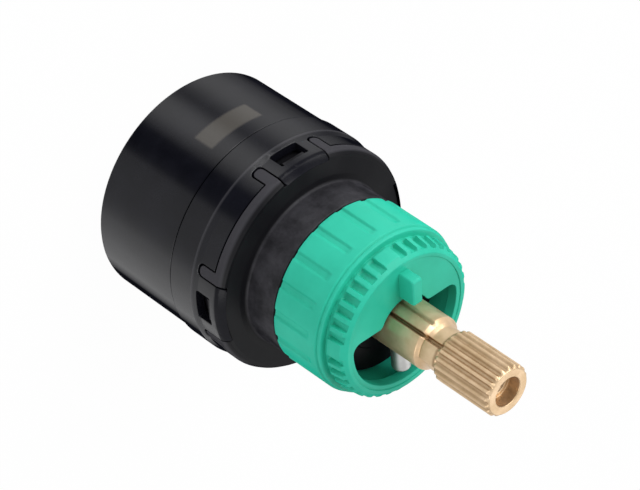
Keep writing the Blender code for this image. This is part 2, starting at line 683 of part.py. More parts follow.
def limit_ring():
    """The green ring: fluted skirt, toothed band, and a front plate open on the side of the stop pin."""
    tooth_high = SPLINE_TOP_Z + 2 * GAP
    ring = turned(
        "limit_ring",
        [
            (0.0, PLATE_TOP_Z),
            (RING_RIM_R - RING_RIM_WIDTH - RING_RIM_HEIGHT / 2, PLATE_TOP_Z),
            (RING_RIM_R - RING_RIM_WIDTH, RING_FACE_Z),
            (RING_RIM_R, RING_FACE_Z),
            (RING_BAND_FRONT_R, RING_CONE_Z),
            (RING_BAND_R, RING_BAND_Z),
            (RING_GROOVE_R, RING_BAND_Z),
            (RING_GROOVE_R, RING_GROOVE_Z),
            (RING_LIP_R, RING_GROOVE_Z),
            (RING_R - RING_DRAFT, RING_LIP_Z),
            (RING_R, RING_Z + EDGE / 2),
            (RING_R - EDGE / 2, RING_Z),
            (RING_TOOTH_R, RING_Z),
            (RING_TOOTH_R, tooth_high),
            (RING_WALL_R, tooth_high + HUB_TAPER_LEN),
            (RING_WALL_R, PLATE_Z),
            (0.0, PLATE_Z),
        ],
        GREEN_PLASTIC,
        closed=False,
    )
    flute_step = 360.0 / FLUTE_COUNT
    flutes = [
        sector(RING_R - FLUTE_DEPTH, RING_R + 0.0010, 90.0 + i * flute_step, FLUTE_HALF_ANGLE, 1)
        for i in range(FLUTE_COUNT)
    ]
    boolean(ring, prisms("flutes", flutes, RING_Z - 0.0010, RING_Z + FLUTE_LEN))
    pocket_step = 360.0 / POCKET_COUNT
    pockets = [
        pocket_outline(POCKET_START_ANGLE + i * pocket_step)
        for i in range(POCKET_COUNT)
        if i not in POCKETS_LEFT_OUT
    ]
    boolean(ring, prisms("pockets", pockets, RING_BAND_Z - RING_GROOVE_LEN / 2, RING_CONE_Z + POCKET_REACH))
    tooth_half = 360.0 / SPLINE_COUNT / 2 - half_angle_of(SPLINE_HALF_WIDTH, SPLINE_R)
    tooth_half -= half_angle_of(RUN_GAP, SPLINE_ROOT_R)
    step = 360.0 / SPLINE_COUNT
    spaces = [
        sector(RING_TOOTH_R - 0.0010, RING_SPLINE_R, i * step, step / 2 - tooth_half, 1)
        for i in range(SPLINE_COUNT)
    ]
    boolean(ring, prisms("ring_spline_spaces", spaces, RING_Z - 0.0010, tooth_high + GAP))
    boolean(ring, prisms("stop_opening", [opening_outline()], PLATE_Z - 0.0010, RING_FACE_Z + 0.0010))
    tab_rise = (PLATE_TOP_Z - 0.0010, PLATE_TOP_Z + TAB_HEIGHT)
    tab = radial_boxes("grip_tab", (TAB_INNER_R, TAB_OUTER_R), 2 * TAB_HALF_WIDTH, tab_rise, (TAB_ANGLE,))
    round_edges(tab, 0.0003)
    boolean(ring, tab, "UNION")
    smooth(ring)


def pocket_outline(angle):
    """A pocket between two teeth of the band, seen from the front."""
    return sector(RING_BAND_R - POCKET_DEPTH, RING_BAND_R + 0.0010, angle, POCKET_HALF_ANGLE, 1)


def round_edges(obj, width):
    """A small bevel all over."""
    bevel = obj.modifiers.new("round", "BEVEL")
    bevel.width = width
    bevel.segments = 2
    bevel.limit_method = "ANGLE"


def opening_outline():
    """The opening in the front plate: a half disc below the two stop edges, and the hole for the stem."""
    corner_x = math.sqrt((OPENING_R - OPENING_CORNER) ** 2 - (STOP_EDGE_Y - OPENING_CORNER) ** 2)
    corner = (corner_x, STOP_EDGE_Y - OPENING_CORNER)
    corner_angle = math.degrees(math.atan2(corner[1], corner[0]))
    reach = STEM_HOLE_R + STOP_EDGE_ROUND
    edge_x = math.sqrt(reach**2 - (STOP_EDGE_Y + STOP_EDGE_ROUND) ** 2)
    edge_centre = (edge_x, STOP_EDGE_Y + STOP_EDGE_ROUND)
    edge_angle = math.degrees(math.atan2(edge_centre[1], edge_centre[0]))
    right = (
        arc(corner, OPENING_CORNER, corner_angle, 90, 4)
        + arc(edge_centre, STOP_EDGE_ROUND, -90, edge_angle - 180, 4)
        + arc((0, 0), STEM_HOLE_R, edge_angle, 90, 8)[1:]
    )
    left = [(-x, y) for x, y in reversed(right[:-1])]
    below = arc((0, 0), OPENING_R, 180 - corner_angle, 360 + corner_angle, 36)[1:-1]
    return right + left + below


def spindle():
    """The brass spindle: tang, flange, journal with two seal grooves, stem, waist and splined head."""
    groove_half = SHAFT_ORING_WIRE + GAP / 2
    groove_r = JOURNAL_R - SHAFT_GROOVE_DEPTH
    lower = CHAMBER_TOP_Z + SHAFT_ORING_OFFSETS["lower"]
    upper = CHAMBER_TOP_Z + SHAFT_ORING_OFFSETS["upper"]
    journal_top = HUB_TOP_Z - BUSH_LEN - 2 * GAP
    stem = turned(
        "spindle",
        [
            (0.0, SPINDLE_TOP_Z),
            (HEAD_R - HEAD_EDGE, SPINDLE_TOP_Z),
            (HEAD_R, SPINDLE_TOP_Z - HEAD_EDGE),
            (HEAD_R, HEAD_Z + HEAD_EDGE),
            (HEAD_R - HEAD_EDGE, HEAD_Z),
            (WAIST_R, HEAD_Z),
            (WAIST_R, STEM_TOP_Z + WAIST_TAPER_LEN),
            (WAIST_R + STEM_STEP / 4, STEM_TOP_Z),
            (STEM_R, STEM_TOP_Z - STEM_EDGE),
            (STEM_R, journal_top),
            (JOURNAL_R, journal_top),
            (JOURNAL_R, upper + groove_half),
            (groove_r, upper + groove_half),
            (groove_r, upper - groove_half),
            (JOURNAL_R, upper - groove_half),
            (JOURNAL_R, lower + groove_half),
            (groove_r, lower + groove_half),
            (groove_r, lower - groove_half),
            (JOURNAL_R, lower - groove_half),
            (JOURNAL_R, SPINDLE_FLANGE_Z + SPINDLE_FLANGE_LEN),
            (FLANGE_R, SPINDLE_FLANGE_Z + SPINDLE_FLANGE_LEN),
            (FLANGE_R, SPINDLE_FLANGE_Z),
            (0.0, SPINDLE_FLANGE_Z),
        ],
        BRASS,
        steps=SPINDLE_ROUND,
        closed=False,
    )
    tang_rise = (SPINDLE_FLANGE_Z - TANG_DEPTH, SPINDLE_FLANGE_Z + SPINDLE_FLANGE_LEN / 2)
    tang = radial_boxes("tang", (-TANG_LENGTH / 2, TANG_LENGTH / 2), TANG_WIDTH, tang_rise, (0.0,))
    boolean(stem, tang, "UNION")
    pad_middle = sum(WAIST_PAD_ANGLES) / 2
    pad_half = (WAIST_PAD_ANGLES[1] - WAIST_PAD_ANGLES[0]) / 2
    pad = prisms(
        "waist_pad",
        [sector(WAIST_R - 0.0010, WAIST_PAD_R, pad_middle, pad_half, 4)],
        STEM_TOP_Z - HEAD_EDGE,
        HEAD_Z + HEAD_EDGE / 2,
    )
    boolean(stem, pad, "UNION")
    tooth_step = 360.0 / TOOTH_COUNT
    grooves = [tooth_groove(TOOTH_START_ANGLE + tooth_step * i) for i in range(TOOTH_COUNT)]
    boolean(stem, prisms("tooth_grooves", grooves, HEAD_Z - 0.0002, SPINDLE_TOP_Z + 0.0010))
    groove_span = (STEM_R - STEM_GROOVE_DEPTH, STEM_R + 0.0010)
    groove_rise = (HUB_TOP_Z + GAP, STEM_TOP_Z + 0.0010)
    boolean(
        stem,
        radial_boxes("stem_grooves", groove_span, STEM_GROOVE_WIDTH, groove_rise, STEM_GROOVE_ANGLES),
    )
    hole = turned(
        "screw_hole",
        [
            (0.0, SPINDLE_TOP_Z + 0.0010),
            (SCREW_SINK_R, SPINDLE_TOP_Z + 0.0010),
            (SCREW_SINK_R, SPINDLE_TOP_Z - SCREW_SINK_DEPTH),
            (SCREW_HOLE_R, SPINDLE_TOP_Z - SCREW_SINK_DEPTH),
            (SCREW_HOLE_R, SPINDLE_TOP_Z - SCREW_HOLE_DEPTH),
            (0.0, SPINDLE_TOP_Z - SCREW_HOLE_DEPTH - SCREW_HOLE_R / 2),
        ],
        steps=SMALL_ROUND,
        closed=False,
    )
    boolean(stem, hole)
    pin_hole = radial_rod("pin_hole", STOP_PIN_R + GAP, STEM_R - STOP_PIN_SEAT - GAP, STEM_R + 0.0010)
    boolean(stem, pin_hole)
    smooth(stem)


def tooth_groove(angle):
    """The space between two teeth of the head: wide at the mouth and narrow at the floor."""
    mouth = HEAD_R + 0.0004
    floor = HEAD_R - TOOTH_DEPTH
    return [
        polar(floor, angle - TOOTH_GROOVE_HALF_ANGLE / 2),
        polar(mouth, angle - 1.3 * TOOTH_GROOVE_HALF_ANGLE),
        polar(mouth, angle + 1.3 * TOOTH_GROOVE_HALF_ANGLE),
        polar(floor, angle + TOOTH_GROOVE_HALF_ANGLE / 2),
    ]


def radial_rod(name, radius, inner, outer, finish=None):
    """A round rod that points outwards at the stop pin's angle and height."""
    mesh = bpy.data.meshes.new(name)
    work = bmesh.new()
    bmesh.ops.create_cone(
        work, cap_ends=True, segments=16, radius1=radius, radius2=radius, depth=outer - inner
    )
    lay = Matrix.Rotation(math.radians(90), 4, "Y")
    place = Matrix.Translation(Vector(((inner + outer) / 2, 0.0, STOP_PIN_Z)))
    turn = Matrix.Rotation(math.radians(STOP_PIN_ANGLE), 4, "Z")
    bmesh.ops.transform(work, matrix=turn @ place @ lay, verts=work.verts)
    work.to_mesh(mesh)
    work.free()
    return add_object(name, mesh, finish)


def stop_pin():
    """The steel pin in the stem that runs between the two stop edges of the limit ring."""
    pin = radial_rod("stop_pin", STOP_PIN_R, STEM_R - STOP_PIN_SEAT, STOP_PIN_END_R, STEEL)
    round_edges(pin, STOP_PIN_EDGE)
    smooth(pin)


def thrust_washer():
    """The slippery washer between the flange of the spindle and the front housing."""
    inner = JOURNAL_R + RUN_GAP
    washer = turned(
        "thrust_washer",
        [
            (inner, WASHER_Z + WASHER_LEN),
            (FLANGE_R, WASHER_Z + WASHER_LEN),
            (FLANGE_R, WASHER_Z),
            (inner, WASHER_Z),
        ],
        WHITE_PLASTIC,
        steps=SMALL_ROUND,
    )
    smooth(washer)


def guide_bush():
    """The bush in the mouth of the hub, which guides the stem."""
    inner = STEM_R + RUN_GAP
    low = HUB_TOP_Z - BUSH_LEN
    bush = turned(
        "guide_bush",
        [(inner, HUB_TOP_Z), (BUSH_R, HUB_TOP_Z), (BUSH_R, low), (inner, low)],
        BLACK_PLASTIC,
        steps=SMALL_ROUND,
    )
    smooth(bush)


def fixed_disc():
    """The ceramic disc that stands still, with the three ports and notches for its lugs."""
    high = FIXED_DISC_Z + FIXED_DISC_LEN
    disc = turned(
        "fixed_disc",
        [(0.0, high), (FIXED_DISC_R, high), (FIXED_DISC_R, FIXED_DISC_Z), (0.0, FIXED_DISC_Z)],
        CERAMIC,
        closed=False,
    )
    boolean(disc, prisms("disc_ports", port_outlines(0.0), FIXED_DISC_Z - 0.0010, high + 0.0010))
    notch_span = (RIM_R - DISC_LUG_REACH - GAP, RIM_R + 0.0010)
    notch_rise = (FIXED_DISC_Z - 0.0010, high + 0.0010)
    notch_width = 2 * (DISC_LUG_HALF_WIDTH + GAP)
    boolean(disc, radial_boxes("disc_notches", notch_span, notch_width, notch_rise, DISC_LUG_ANGLES))
    smooth(disc)


def moving_disc():
    """The ceramic disc that turns: a hollow in its rear face joins the inlet to an outlet."""
    high = MOVING_DISC_Z + MOVING_DISC_LEN
    disc = turned(
        "moving_disc",
        [(0.0, high), (MOVING_DISC_R, high), (MOVING_DISC_R, MOVING_DISC_Z), (0.0, MOVING_DISC_Z)],
        CERAMIC,
        closed=False,
    )
    start = STOP_PIN_ANGLE - SPOON_HALF_ANGLE
    end = STOP_PIN_ANGLE + SPOON_HALF_ANGLE
    spoon = arc((0, 0), OUTLET_FAR_R, start, end, 16) + arc((0, 0), SPOON_CENTRE_R, end + 10, start + 350, 12)
    boolean(disc, prisms("spoon", [spoon], MOVING_DISC_Z - 0.0010, MOVING_DISC_Z + SPOON_DEPTH))
    notch_span = (MOVING_DISC_R - DRIVER_LUG_REACH - GAP, MOVING_DISC_R + 0.0010)
    notch_rise = (high - DRIVER_LUG_LEN - GAP, high + 0.0010)
    notch_width = 2 * (DRIVER_LUG_HALF_WIDTH + GAP)
    boolean(disc, radial_boxes("driver_notches", notch_span, notch_width, notch_rise, DRIVER_LUG_ANGLES))
    smooth(disc)


def disc_driver():
    """The moulded driver: a plate with two lugs in the moving disc, and a socket for the tang."""
    driver_top = DRIVER_HUB_Z + DRIVER_HUB_LEN
    driver = turned(
        "disc_driver",
        [
            (0.0, driver_top),
            (DRIVER_HUB_R, driver_top),
            (DRIVER_HUB_R, DRIVER_HUB_Z),
            (MOVING_DISC_R, DRIVER_HUB_Z),
            (MOVING_DISC_R, DRIVER_Z),
            (0.0, DRIVER_Z),
        ],
        WHITE_PLASTIC,
        closed=False,
    )
    lug_span = (MOVING_DISC_R - DRIVER_LUG_REACH, MOVING_DISC_R - GAP)
    lug_rise = (DRIVER_Z - DRIVER_LUG_LEN, DRIVER_Z + 0.0010)
    lugs = radial_boxes("driver_lugs", lug_span, 2 * DRIVER_LUG_HALF_WIDTH, lug_rise, DRIVER_LUG_ANGLES)
    boolean(driver, lugs, "UNION")
    reach = TANG_LENGTH / 2 + GAP
    socket_rise = (SPINDLE_FLANGE_Z - TANG_DEPTH - GAP, driver_top + 0.0010)
    boolean(driver, radial_boxes("tang_socket", (-reach, reach), TANG_WIDTH + 2 * GAP, socket_rise, (0.0,)))
    smooth(driver)


def orings():
    """Two O-rings between the housings, and two on the spindle."""
    housing_r = BORE_R - GAP - ORING_WIRE
    half_groove = ORING_WIRE + GAP / 2
    lower_z = SPIGOT_TOP_Z - 0.0006 - half_groove
    upper_z = SPIGOT_TOP_Z + GAP + 0.0006 + half_groove
    ring_of_wire("rear_body_oring", housing_r, ORING_WIRE, lower_z, SPINDLE_ROUND)
    ring_of_wire("front_housing_oring", housing_r, ORING_WIRE, upper_z, SPINDLE_ROUND)
    shaft_r = JOURNAL_R - SHAFT_GROOVE_DEPTH + GAP + SHAFT_ORING_WIRE
    for name, offset in SHAFT_ORING_OFFSETS.items():
        z = CHAMBER_TOP_Z + offset
        ring_of_wire(name + "_spindle_oring", shaft_r, SHAFT_ORING_WIRE, z, SMALL_ROUND)


rear_body()
hook_housing()
front_housing()
limit_ring()
spindle()
stop_pin()
thrust_washer()
guide_bush()
fixed_disc()
moving_disc()
disc_driver()
orings()
port_seals("seat_", SEAT_Z - SEAL_HEIGHT + GAP)
port_seals("rear_", GAP)
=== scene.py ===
import math
from contextlib import contextmanager

import bmesh
import bpy
from mathutils import Matrix, Vector


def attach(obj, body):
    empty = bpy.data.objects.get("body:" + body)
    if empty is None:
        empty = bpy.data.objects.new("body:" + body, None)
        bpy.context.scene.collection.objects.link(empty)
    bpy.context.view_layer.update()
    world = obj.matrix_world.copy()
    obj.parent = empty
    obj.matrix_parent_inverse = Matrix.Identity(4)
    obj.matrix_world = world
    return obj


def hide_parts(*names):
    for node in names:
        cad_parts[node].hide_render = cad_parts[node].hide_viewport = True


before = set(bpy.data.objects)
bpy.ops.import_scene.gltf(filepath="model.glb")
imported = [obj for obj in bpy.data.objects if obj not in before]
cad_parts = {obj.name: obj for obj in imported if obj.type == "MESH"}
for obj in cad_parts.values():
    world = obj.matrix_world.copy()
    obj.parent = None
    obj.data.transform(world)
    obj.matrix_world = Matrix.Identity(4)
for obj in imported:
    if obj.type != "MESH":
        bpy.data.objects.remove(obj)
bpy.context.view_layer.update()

# Studio
# A pale table, a white surround and soft lamps. The camera stands where the photographer's did:
# above the spindle's end and well rolled, with a long lens.

TABLE_SIZE = 3.0
TABLE_LEVEL = -0.0002
TABLE_SHOW_THROUGH = 0.975  # the share the camera sees as plain white, the rest keeps the shadow
FILL_STRENGTH = 0.50

camera_place = Vector((-0.25126, 0.33347, 0.34191))
camera_right = Vector((0.74071, -0.05731, 0.66938))
camera_up = Vector((0.46130, 0.76773, -0.44473))
camera_back = Vector((-0.48842, 0.63820, 0.59510))
part_middle = Vector((0.0, 0.0, 0.040))


def placed(name, data):
    """A new object with this data, in the scene."""
    obj = bpy.data.objects.new(name, data)
    bpy.context.scene.collection.objects.link(obj)
    return obj


lens = bpy.data.cameras.new("long lens")
lens.sensor_width = 36.0
lens.lens = 162.0
lens.clip_start = 0.01
camera = placed("camera", lens)
camera_turn = Matrix((camera_right, camera_up, camera_back)).transposed().to_4x4()
camera.matrix_world = Matrix.Translation(camera_place) @ camera_turn
bpy.context.scene.camera = camera
bpy.context.scene.view_settings.view_transform = "Standard"


def feed(tree, socket, value):
    """Sets a socket to a plain value, or links another socket to it."""
    if isinstance(value, bpy.types.NodeSocket):
        tree.links.new(value, socket)
    else:
        socket.default_value = value


def number(tree, operation, *values):
    """A math node on sockets or plain numbers."""
    node = tree.nodes.new("ShaderNodeMath")
    node.operation = operation
    for socket, value in zip(node.inputs, values):
        feed(tree, socket, value)
    return node.outputs[0]


def background_rays(tree):
    """1 for camera, glossy and transmission rays, which see the white surround, and 0 for the rest."""
    rays = tree.nodes.new("ShaderNodeLightPath").outputs
    seen = number(tree, "MAXIMUM", rays["Is Camera Ray"], rays["Is Glossy Ray"])
    return number(tree, "MAXIMUM", seen, rays["Is Transmission Ray"])


def shown_by_ray(tree, share, usual, seen, result):
    """Mixes the shader that background rays see into the usual one, by this share."""
    mix = tree.nodes.new("ShaderNodeMixShader")
    for socket, source in zip(mix.inputs, (share, usual.outputs[0], seen.outputs[0])):
        tree.links.new(source, socket)
    tree.links.new(mix.outputs[0], tree.nodes[result].inputs["Surface"])


def new_finish(name, like=None):
    """A new material, or a copy of another one, with its node tree and its shader."""
    finish = like.copy() if like else bpy.data.materials.new(name)
    finish.name = name
    finish.use_nodes = True
    return finish, finish.node_tree, finish.node_tree.nodes["Principled BSDF"]


@contextmanager
def reworked(mesh):
    """The mesh opened for editing, and written back afterwards."""
    work = bmesh.new()
    work.from_mesh(mesh)
    yield work
    work.to_mesh(mesh)
    work.free()


table_mesh = bpy.data.meshes.new("table")
with reworked(table_mesh) as table_top:
    bmesh.ops.create_grid(table_top, x_segments=1, y_segments=1, size=TABLE_SIZE / 2)
    bmesh.ops.translate(table_top, verts=table_top.verts, vec=(0.0, 0.0, TABLE_LEVEL))
table = placed("table", table_mesh)

table_finish, tree, matt = new_finish("table_white")
matt.inputs["Base Color"].default_value = (0.86, 0.86, 0.86, 1.0)
matt.inputs["Roughness"].default_value = 0.9
matt.inputs["Specular IOR Level"].default_value = 0.1
share = number(tree, "MULTIPLY", background_rays(tree), TABLE_SHOW_THROUGH)
shown_by_ray(tree, share, matt, tree.nodes.new("ShaderNodeEmission"), "Material Output")
table_mesh.materials.append(table_finish)

surround = bpy.data.worlds.new("surround")
surround.use_nodes = True
tree = surround.node_tree
fill = tree.nodes["Background"]
white = tree.nodes.new("ShaderNodeBackground")
for shader, strength in ((fill, FILL_STRENGTH), (white, 1.0)):
    shader.inputs["Color"].default_value = (1.0, 1.0, 1.0, 1.0)
    shader.inputs["Strength"].default_value = strength
shown_by_ray(tree, background_rays(tree), fill, white, "World Output")
bpy.context.scene.world = surround


def lamp(name, azimuth, height, distance, width, tall, power):
    """A soft box at this azimuth in degrees and this height, facing the middle of the part."""
    box = bpy.data.lights.new(name, "AREA")
    box.shape = "RECTANGLE"
    box.size = width
    box.size_y = tall
    box.energy = power
    holder = placed(name, box)
    turn = math.radians(azimuth)
    holder.location = (distance * math.cos(turn), distance * math.sin(turn), height)
    holder.rotation_euler = (part_middle - holder.location).to_track_quat("-Z", "Y").to_euler()
    holder.visible_camera = False


lamp("key", 62.0, 0.50, 0.38, 0.40, 0.40, 2.05)
lamp("right", 308.0, 0.34, 0.40, 0.30, 0.30, 0.24)
lamp("strip", 62.0, 0.07, 0.50, 0.50, 0.10, 0.9)
lamp("left", 188.0, 0.20, 0.50, 0.24, 0.20, 0.6)

# Rear body
# Black moulded polyamide cylinder with the water ports in its rear face, moulding pockets between
# them, and two notches at the rim. Its front rim plugs into the hook housing.

MM = 0.001
REAR_RADIUS = 22.45
REAR_LENGTH = 20.5
SEAM = 0.15  # half of the fine gap between the moulded pieces
SHOULDER_DROP = 0.12  # the shoulder's worn edge makes the gap look a little wider
SEAT_LEVEL = 17.5  # where the fixed disc sits
CUP_RADIUS = 17.6
SPIGOT_RADIUS = 20.2
SPIGOT_TOP = 24.5
ORING_FLOOR = 18.7
PORT_EDGE = 0.20
INLET_RADIUS = 3.7
OUTLET_RADIUS = 11.7
OUTLET_HALF = 2.5
OUTLET_SWEEP = 22.0
POCKETS = (66.0, 114.0, 246.0, 294.0)
KEYS = (255.0, 345.0)
KEY_HALF = 2.0
KEY_FLOOR = 20.85
CUT_LOW = -1.0  # where cutters start, below the rear face
CUT_HIGH = 18.5  # where cutters end, above the seat
PATCH_ANGLES = (79.0, 110.0)
PATCH_HEIGHTS = (12.2, 16.9)
REAR_FACE_GLOSS = 0.25
REAR_FACE_FADE = (0.0002, 0.0006)
# Painted reflection: the gloss bands round the black body stand for soft boxes' reflections and stay fixed to
# the part.
PAINTED_REFLECTION_BANDS = (  # degrees round Z from +X, and gloss
    (-180.0, 0.85),
    (-160.0, 0.58),
    (-130.0, 0.50),
    (-104.0, 0.40),
    (-98.0, 0.04),
    (-88.0, 0.04),
    (-82.0, 0.45),
    (-60.0, 0.75),
    (-20.0, 0.60),
    (2.0, 0.30),
    (8.0, 0.05),
    (16.0, 0.05),
    (24.0, 0.40),
    (44.0, 0.15),
    (60.0, 0.12),
    (66.0, 0.22),
    (72.0, 0.42),
    (80.0, 0.64),
    (86.0, 0.54),
    (92.0, 0.23),
    (96.0, 0.24),
    (101.0, 0.76),
    (106.0, 0.86),
    (111.0, 0.70),
    (116.0, 0.20),
    (119.0, 0.0),
    (130.0, 0.0),
    (134.0, 0.38),
    (152.0, 0.33),
    (160.0, 0.42),
    (166.0, 0.70),
    (180.0, 0.85),
)


def rounded(corners, steps=4, closed=True):
    """A path through corners of (x, y) or (x, y, radius), with an arc at each corner that has a radius."""
    path = []
    count = len(corners)
    for i, corner in enumerate(corners):
        here = Vector(corner[:2])
        radius = corner[2] if len(corner) > 2 else 0.0
        if radius <= 0.0 or (not closed and i in (0, count - 1)):
            path.append((here.x, here.y))
            continue
        back = Vector(corners[i - 1][:2]) - here
        ahead = Vector(corners[(i + 1) % count][:2]) - here
        half = back.angle(ahead) / 2
        reach = min(radius / math.tan(half), 0.49 * back.length, 0.49 * ahead.length)
        radius = reach * math.tan(half)
        centre = here + (back.normalized() + ahead.normalized()).normalized() * (radius / math.sin(half))
        start = here + back.normalized() * reach - centre
        sweep = start.angle_signed(here + ahead.normalized() * reach - centre)
        for k in range(steps + 1):
            turned_by = Matrix.Rotation(-sweep * k / steps, 2)
            point = centre + turned_by @ start
            path.append((point.x, point.y))
    return path


def fine(path, longest):
    """The same path with its long stretches cut into steps."""
    out = []
    for (x0, y0), (x1, y1) in zip(path, path[1:]):
        cuts = max(1, math.ceil(math.hypot(x1 - x0, y1 - y0) / longest))
        out += [(x0 + (x1 - x0) * k / cuts, y0 + (y1 - y0) * k / cuts) for k in range(cuts)]
    return out + [path[-1]]


def turned(name, path, steps, closed=True):
    """A path of (radius, height) in mm, run down the outer side, turned about Z."""
    mesh = bpy.data.meshes.new(name)
    turns = [2 * math.pi * k / steps for k in range(steps)]
    rings = []
    with reworked(mesh) as work:
        for radius, height in path:
            if radius < 1e-6:
                rings.append([work.verts.new((0.0, 0.0, height * MM))])
                continue
            ring = [(radius * math.cos(a) * MM, radius * math.sin(a) * MM, height * MM) for a in turns]
            rings.append([work.verts.new(place) for place in ring])
        pairs = list(zip(rings, rings[1:]))
        if closed:
            pairs.append((rings[-1], rings[0]))
        for upper, lower in pairs:
            for k in range(steps):
                following = (k + 1) % steps
                order = ((upper, k), (lower, k), (lower, following), (upper, following))
                corners = dict.fromkeys(ring[i % len(ring)] for ring, i in order)
                work.faces.new(tuple(corners))
    return placed(name, mesh)


def applied(obj):
    """The object with its modifiers worked into its mesh."""
    bpy.context.view_layer.update()
    graph = bpy.context.evaluated_depsgraph_get()
    mesh = bpy.data.meshes.new_from_object(obj.evaluated_get(graph))
    obj.modifiers.clear()
    obj.data = mesh
    mesh.name = obj.name


def combined(obj, others, operation):
    """Works the other objects into this one, and takes them out of the scene."""
    for other in others:
        change = obj.modifiers.new(other.name, "BOOLEAN")
        change.operation = operation
        change.solver = "EXACT"
        change.object = other
    applied(obj)
    for other in others:
        bpy.data.objects.remove(other)


def plate(name, outlines, low, high, edge):
    """Flat outlines in mm, the first with the others as holes, raised from low to high with rounded edges."""
    flat = bpy.data.curves.new(name, "CURVE")
    flat.dimensions = "2D"
    flat.fill_mode = "BOTH"
    flat.extrude = ((high - low) / 2 - edge) * MM
    flat.bevel_depth = edge * MM
    flat.bevel_resolution = 2
    flat.offset = -edge * MM
    for outline in outlines:
        loop = flat.splines.new("POLY")
        loop.points.add(len(outline) - 1)
        for point, (x, y) in zip(loop.points, outline):
            point.co = (x * MM, y * MM, 0.0, 1.0)
        loop.use_cyclic_u = True
    drawn = placed(name, flat)
    bpy.context.view_layer.update()
    mesh = bpy.data.meshes.new_from_object(drawn.evaluated_get(bpy.context.evaluated_depsgraph_get()))
    bpy.data.objects.remove(drawn)
    with reworked(mesh) as work:
        bmesh.ops.remove_doubles(work, verts=work.verts, dist=1e-6)
        bmesh.ops.translate(work, verts=work.verts, vec=(0.0, 0.0, (low + high) / 2 * MM))
        bmesh.ops.recalc_face_normals(work, faces=work.faces)
    mesh.name = name
    return placed(name, mesh)


def circle(radius, steps):
    """A circle's outline."""
    turns = [2 * math.pi * k / steps for k in range(steps)]
    return [(radius * math.cos(a), radius * math.sin(a)) for a in turns]


def arc(centre, size, start, end, steps):
    """Points on an arc, angles in degrees."""
    turns = [math.radians(start + (end - start) * k / steps) for k in range(steps + 1)]
    return [(centre[0] + size * math.cos(a), centre[1] + size * math.sin(a)) for a in turns]


def bent_slot(radius, half_width, middle, half_angle, steps=14):
    """The outline of a slot with round ends that follows a circle."""

    def on_circle(angle):
        return (radius * math.cos(math.radians(angle)), radius * math.sin(math.radians(angle)))

    start, end = middle - half_angle, middle + half_angle
    return (
        arc((0, 0), radius + half_width, start, end, steps)
        + arc(on_circle(end), half_width, end, end + 180, steps)[1:-1]
        + arc((0, 0), radius - half_width, end, start, steps)
        + arc(on_circle(start), half_width, start + 180, start + 360, steps)[1:-1]
    )


def crisp(obj, angle=42.0, folds=()):
    """Smooth shading that keeps true corners, and the folds at these heights in mm."""
    obj.data.shade_smooth()
    obj.data.set_sharp_from_angle(angle=math.radians(angle))
    for edge in obj.data.edges:
        ends = [obj.data.vertices[i].co.z / MM for i in edge.vertices]
        if any(all(abs(end - fold) < 0.002 for end in ends) for fold in folds):
            edge.use_edge_sharp = True
    even = obj.modifiers.new("even normals", "WEIGHTED_NORMAL")
    even.keep_sharp = True
    applied(obj)


def ports(grow):
    """The middle inlet and the two bent outlets, each grown by this much."""
    slots = [bent_slot(OUTLET_RADIUS, OUTLET_HALF + grow, side, OUTLET_SWEEP) for side in (180.0, 0.0)]
    return [circle(INLET_RADIUS + grow, 48)] + slots


rear_body = turned(
    "rear_body_shell",
    rounded(
        [
            (0.0, SEAT_LEVEL),
            (CUP_RADIUS, SEAT_LEVEL),
            (CUP_RADIUS, SPIGOT_TOP, 0.2),
            (SPIGOT_RADIUS, SPIGOT_TOP, 0.2),
            (SPIGOT_RADIUS, 23.9, 0.1),
            (ORING_FLOOR, 23.9, 0.1),
            (ORING_FLOOR, 22.4, 0.1),
            (SPIGOT_RADIUS, 22.4, 0.1),
            (SPIGOT_RADIUS, 22.2, 0.1),
            (19.45, 21.5, 0.2),
            (SPIGOT_RADIUS, 20.8),
            (SPIGOT_RADIUS, REAR_LENGTH - SEAM - SHOULDER_DROP),
            (REAR_RADIUS, REAR_LENGTH - SEAM - SHOULDER_DROP, 0.15),
            (REAR_RADIUS, 0.0, 0.6),
            (0.0, 0.0),
        ],
        closed=False,
    ),
    256,
    closed=False,
)
pocket_cutters = [
    plate("pocket", [bent_slot(17.3, 2.4, angle, 13.0)], CUT_LOW, 13.0, 0.3) for angle in POCKETS
]
port_cutters = [plate("port", [outline], CUT_LOW, CUT_HIGH, 0.1) for outline in ports(0.0)]
groove_cutters = [
    plate("groove", [outer, inner], low, high, 0.1)
    for low, high in ((CUT_LOW, 1.6), (16.5, CUT_HIGH))
    for outer, inner in zip(ports(2.4), ports(0.7))
]
key_cutters = []
key = [(KEY_FLOOR, -KEY_HALF), (24.0, -KEY_HALF), (24.0, KEY_HALF), (KEY_FLOOR, KEY_HALF)]
for key_angle in KEYS:
    cutter = plate("key", [key], CUT_LOW, 3.0, 0.2)
    cutter.data.transform(Matrix.Rotation(math.radians(key_angle), 4, "Z"))
    key_cutters.append(cutter)
combined(rear_body, pocket_cutters + port_cutters + groove_cutters + key_cutters, "DIFFERENCE")


def soften_rim(work, height, width):
    """A small rounding on the sharp edges that lie in the plane at this height."""
    bmesh.ops.remove_doubles(work, verts=work.verts, dist=2e-7)
    level = height * MM
    edges = [
        edge
        for edge in work.edges
        if all(abs(vert.co.z - level) < 1e-6 for vert in edge.verts)
        and len(edge.link_faces) == 2
        and edge.calc_face_angle() > math.radians(60)
    ]
    bmesh.ops.bevel(
        work, geom=edges, offset=width * MM, segments=3, profile=0.5, affect="EDGES", clamp_overlap=False
    )
    bmesh.ops.remove_doubles(work, verts=work.verts, dist=1e-7)
    bmesh.ops.dissolve_degenerate(work, edges=work.edges, dist=1e-7)


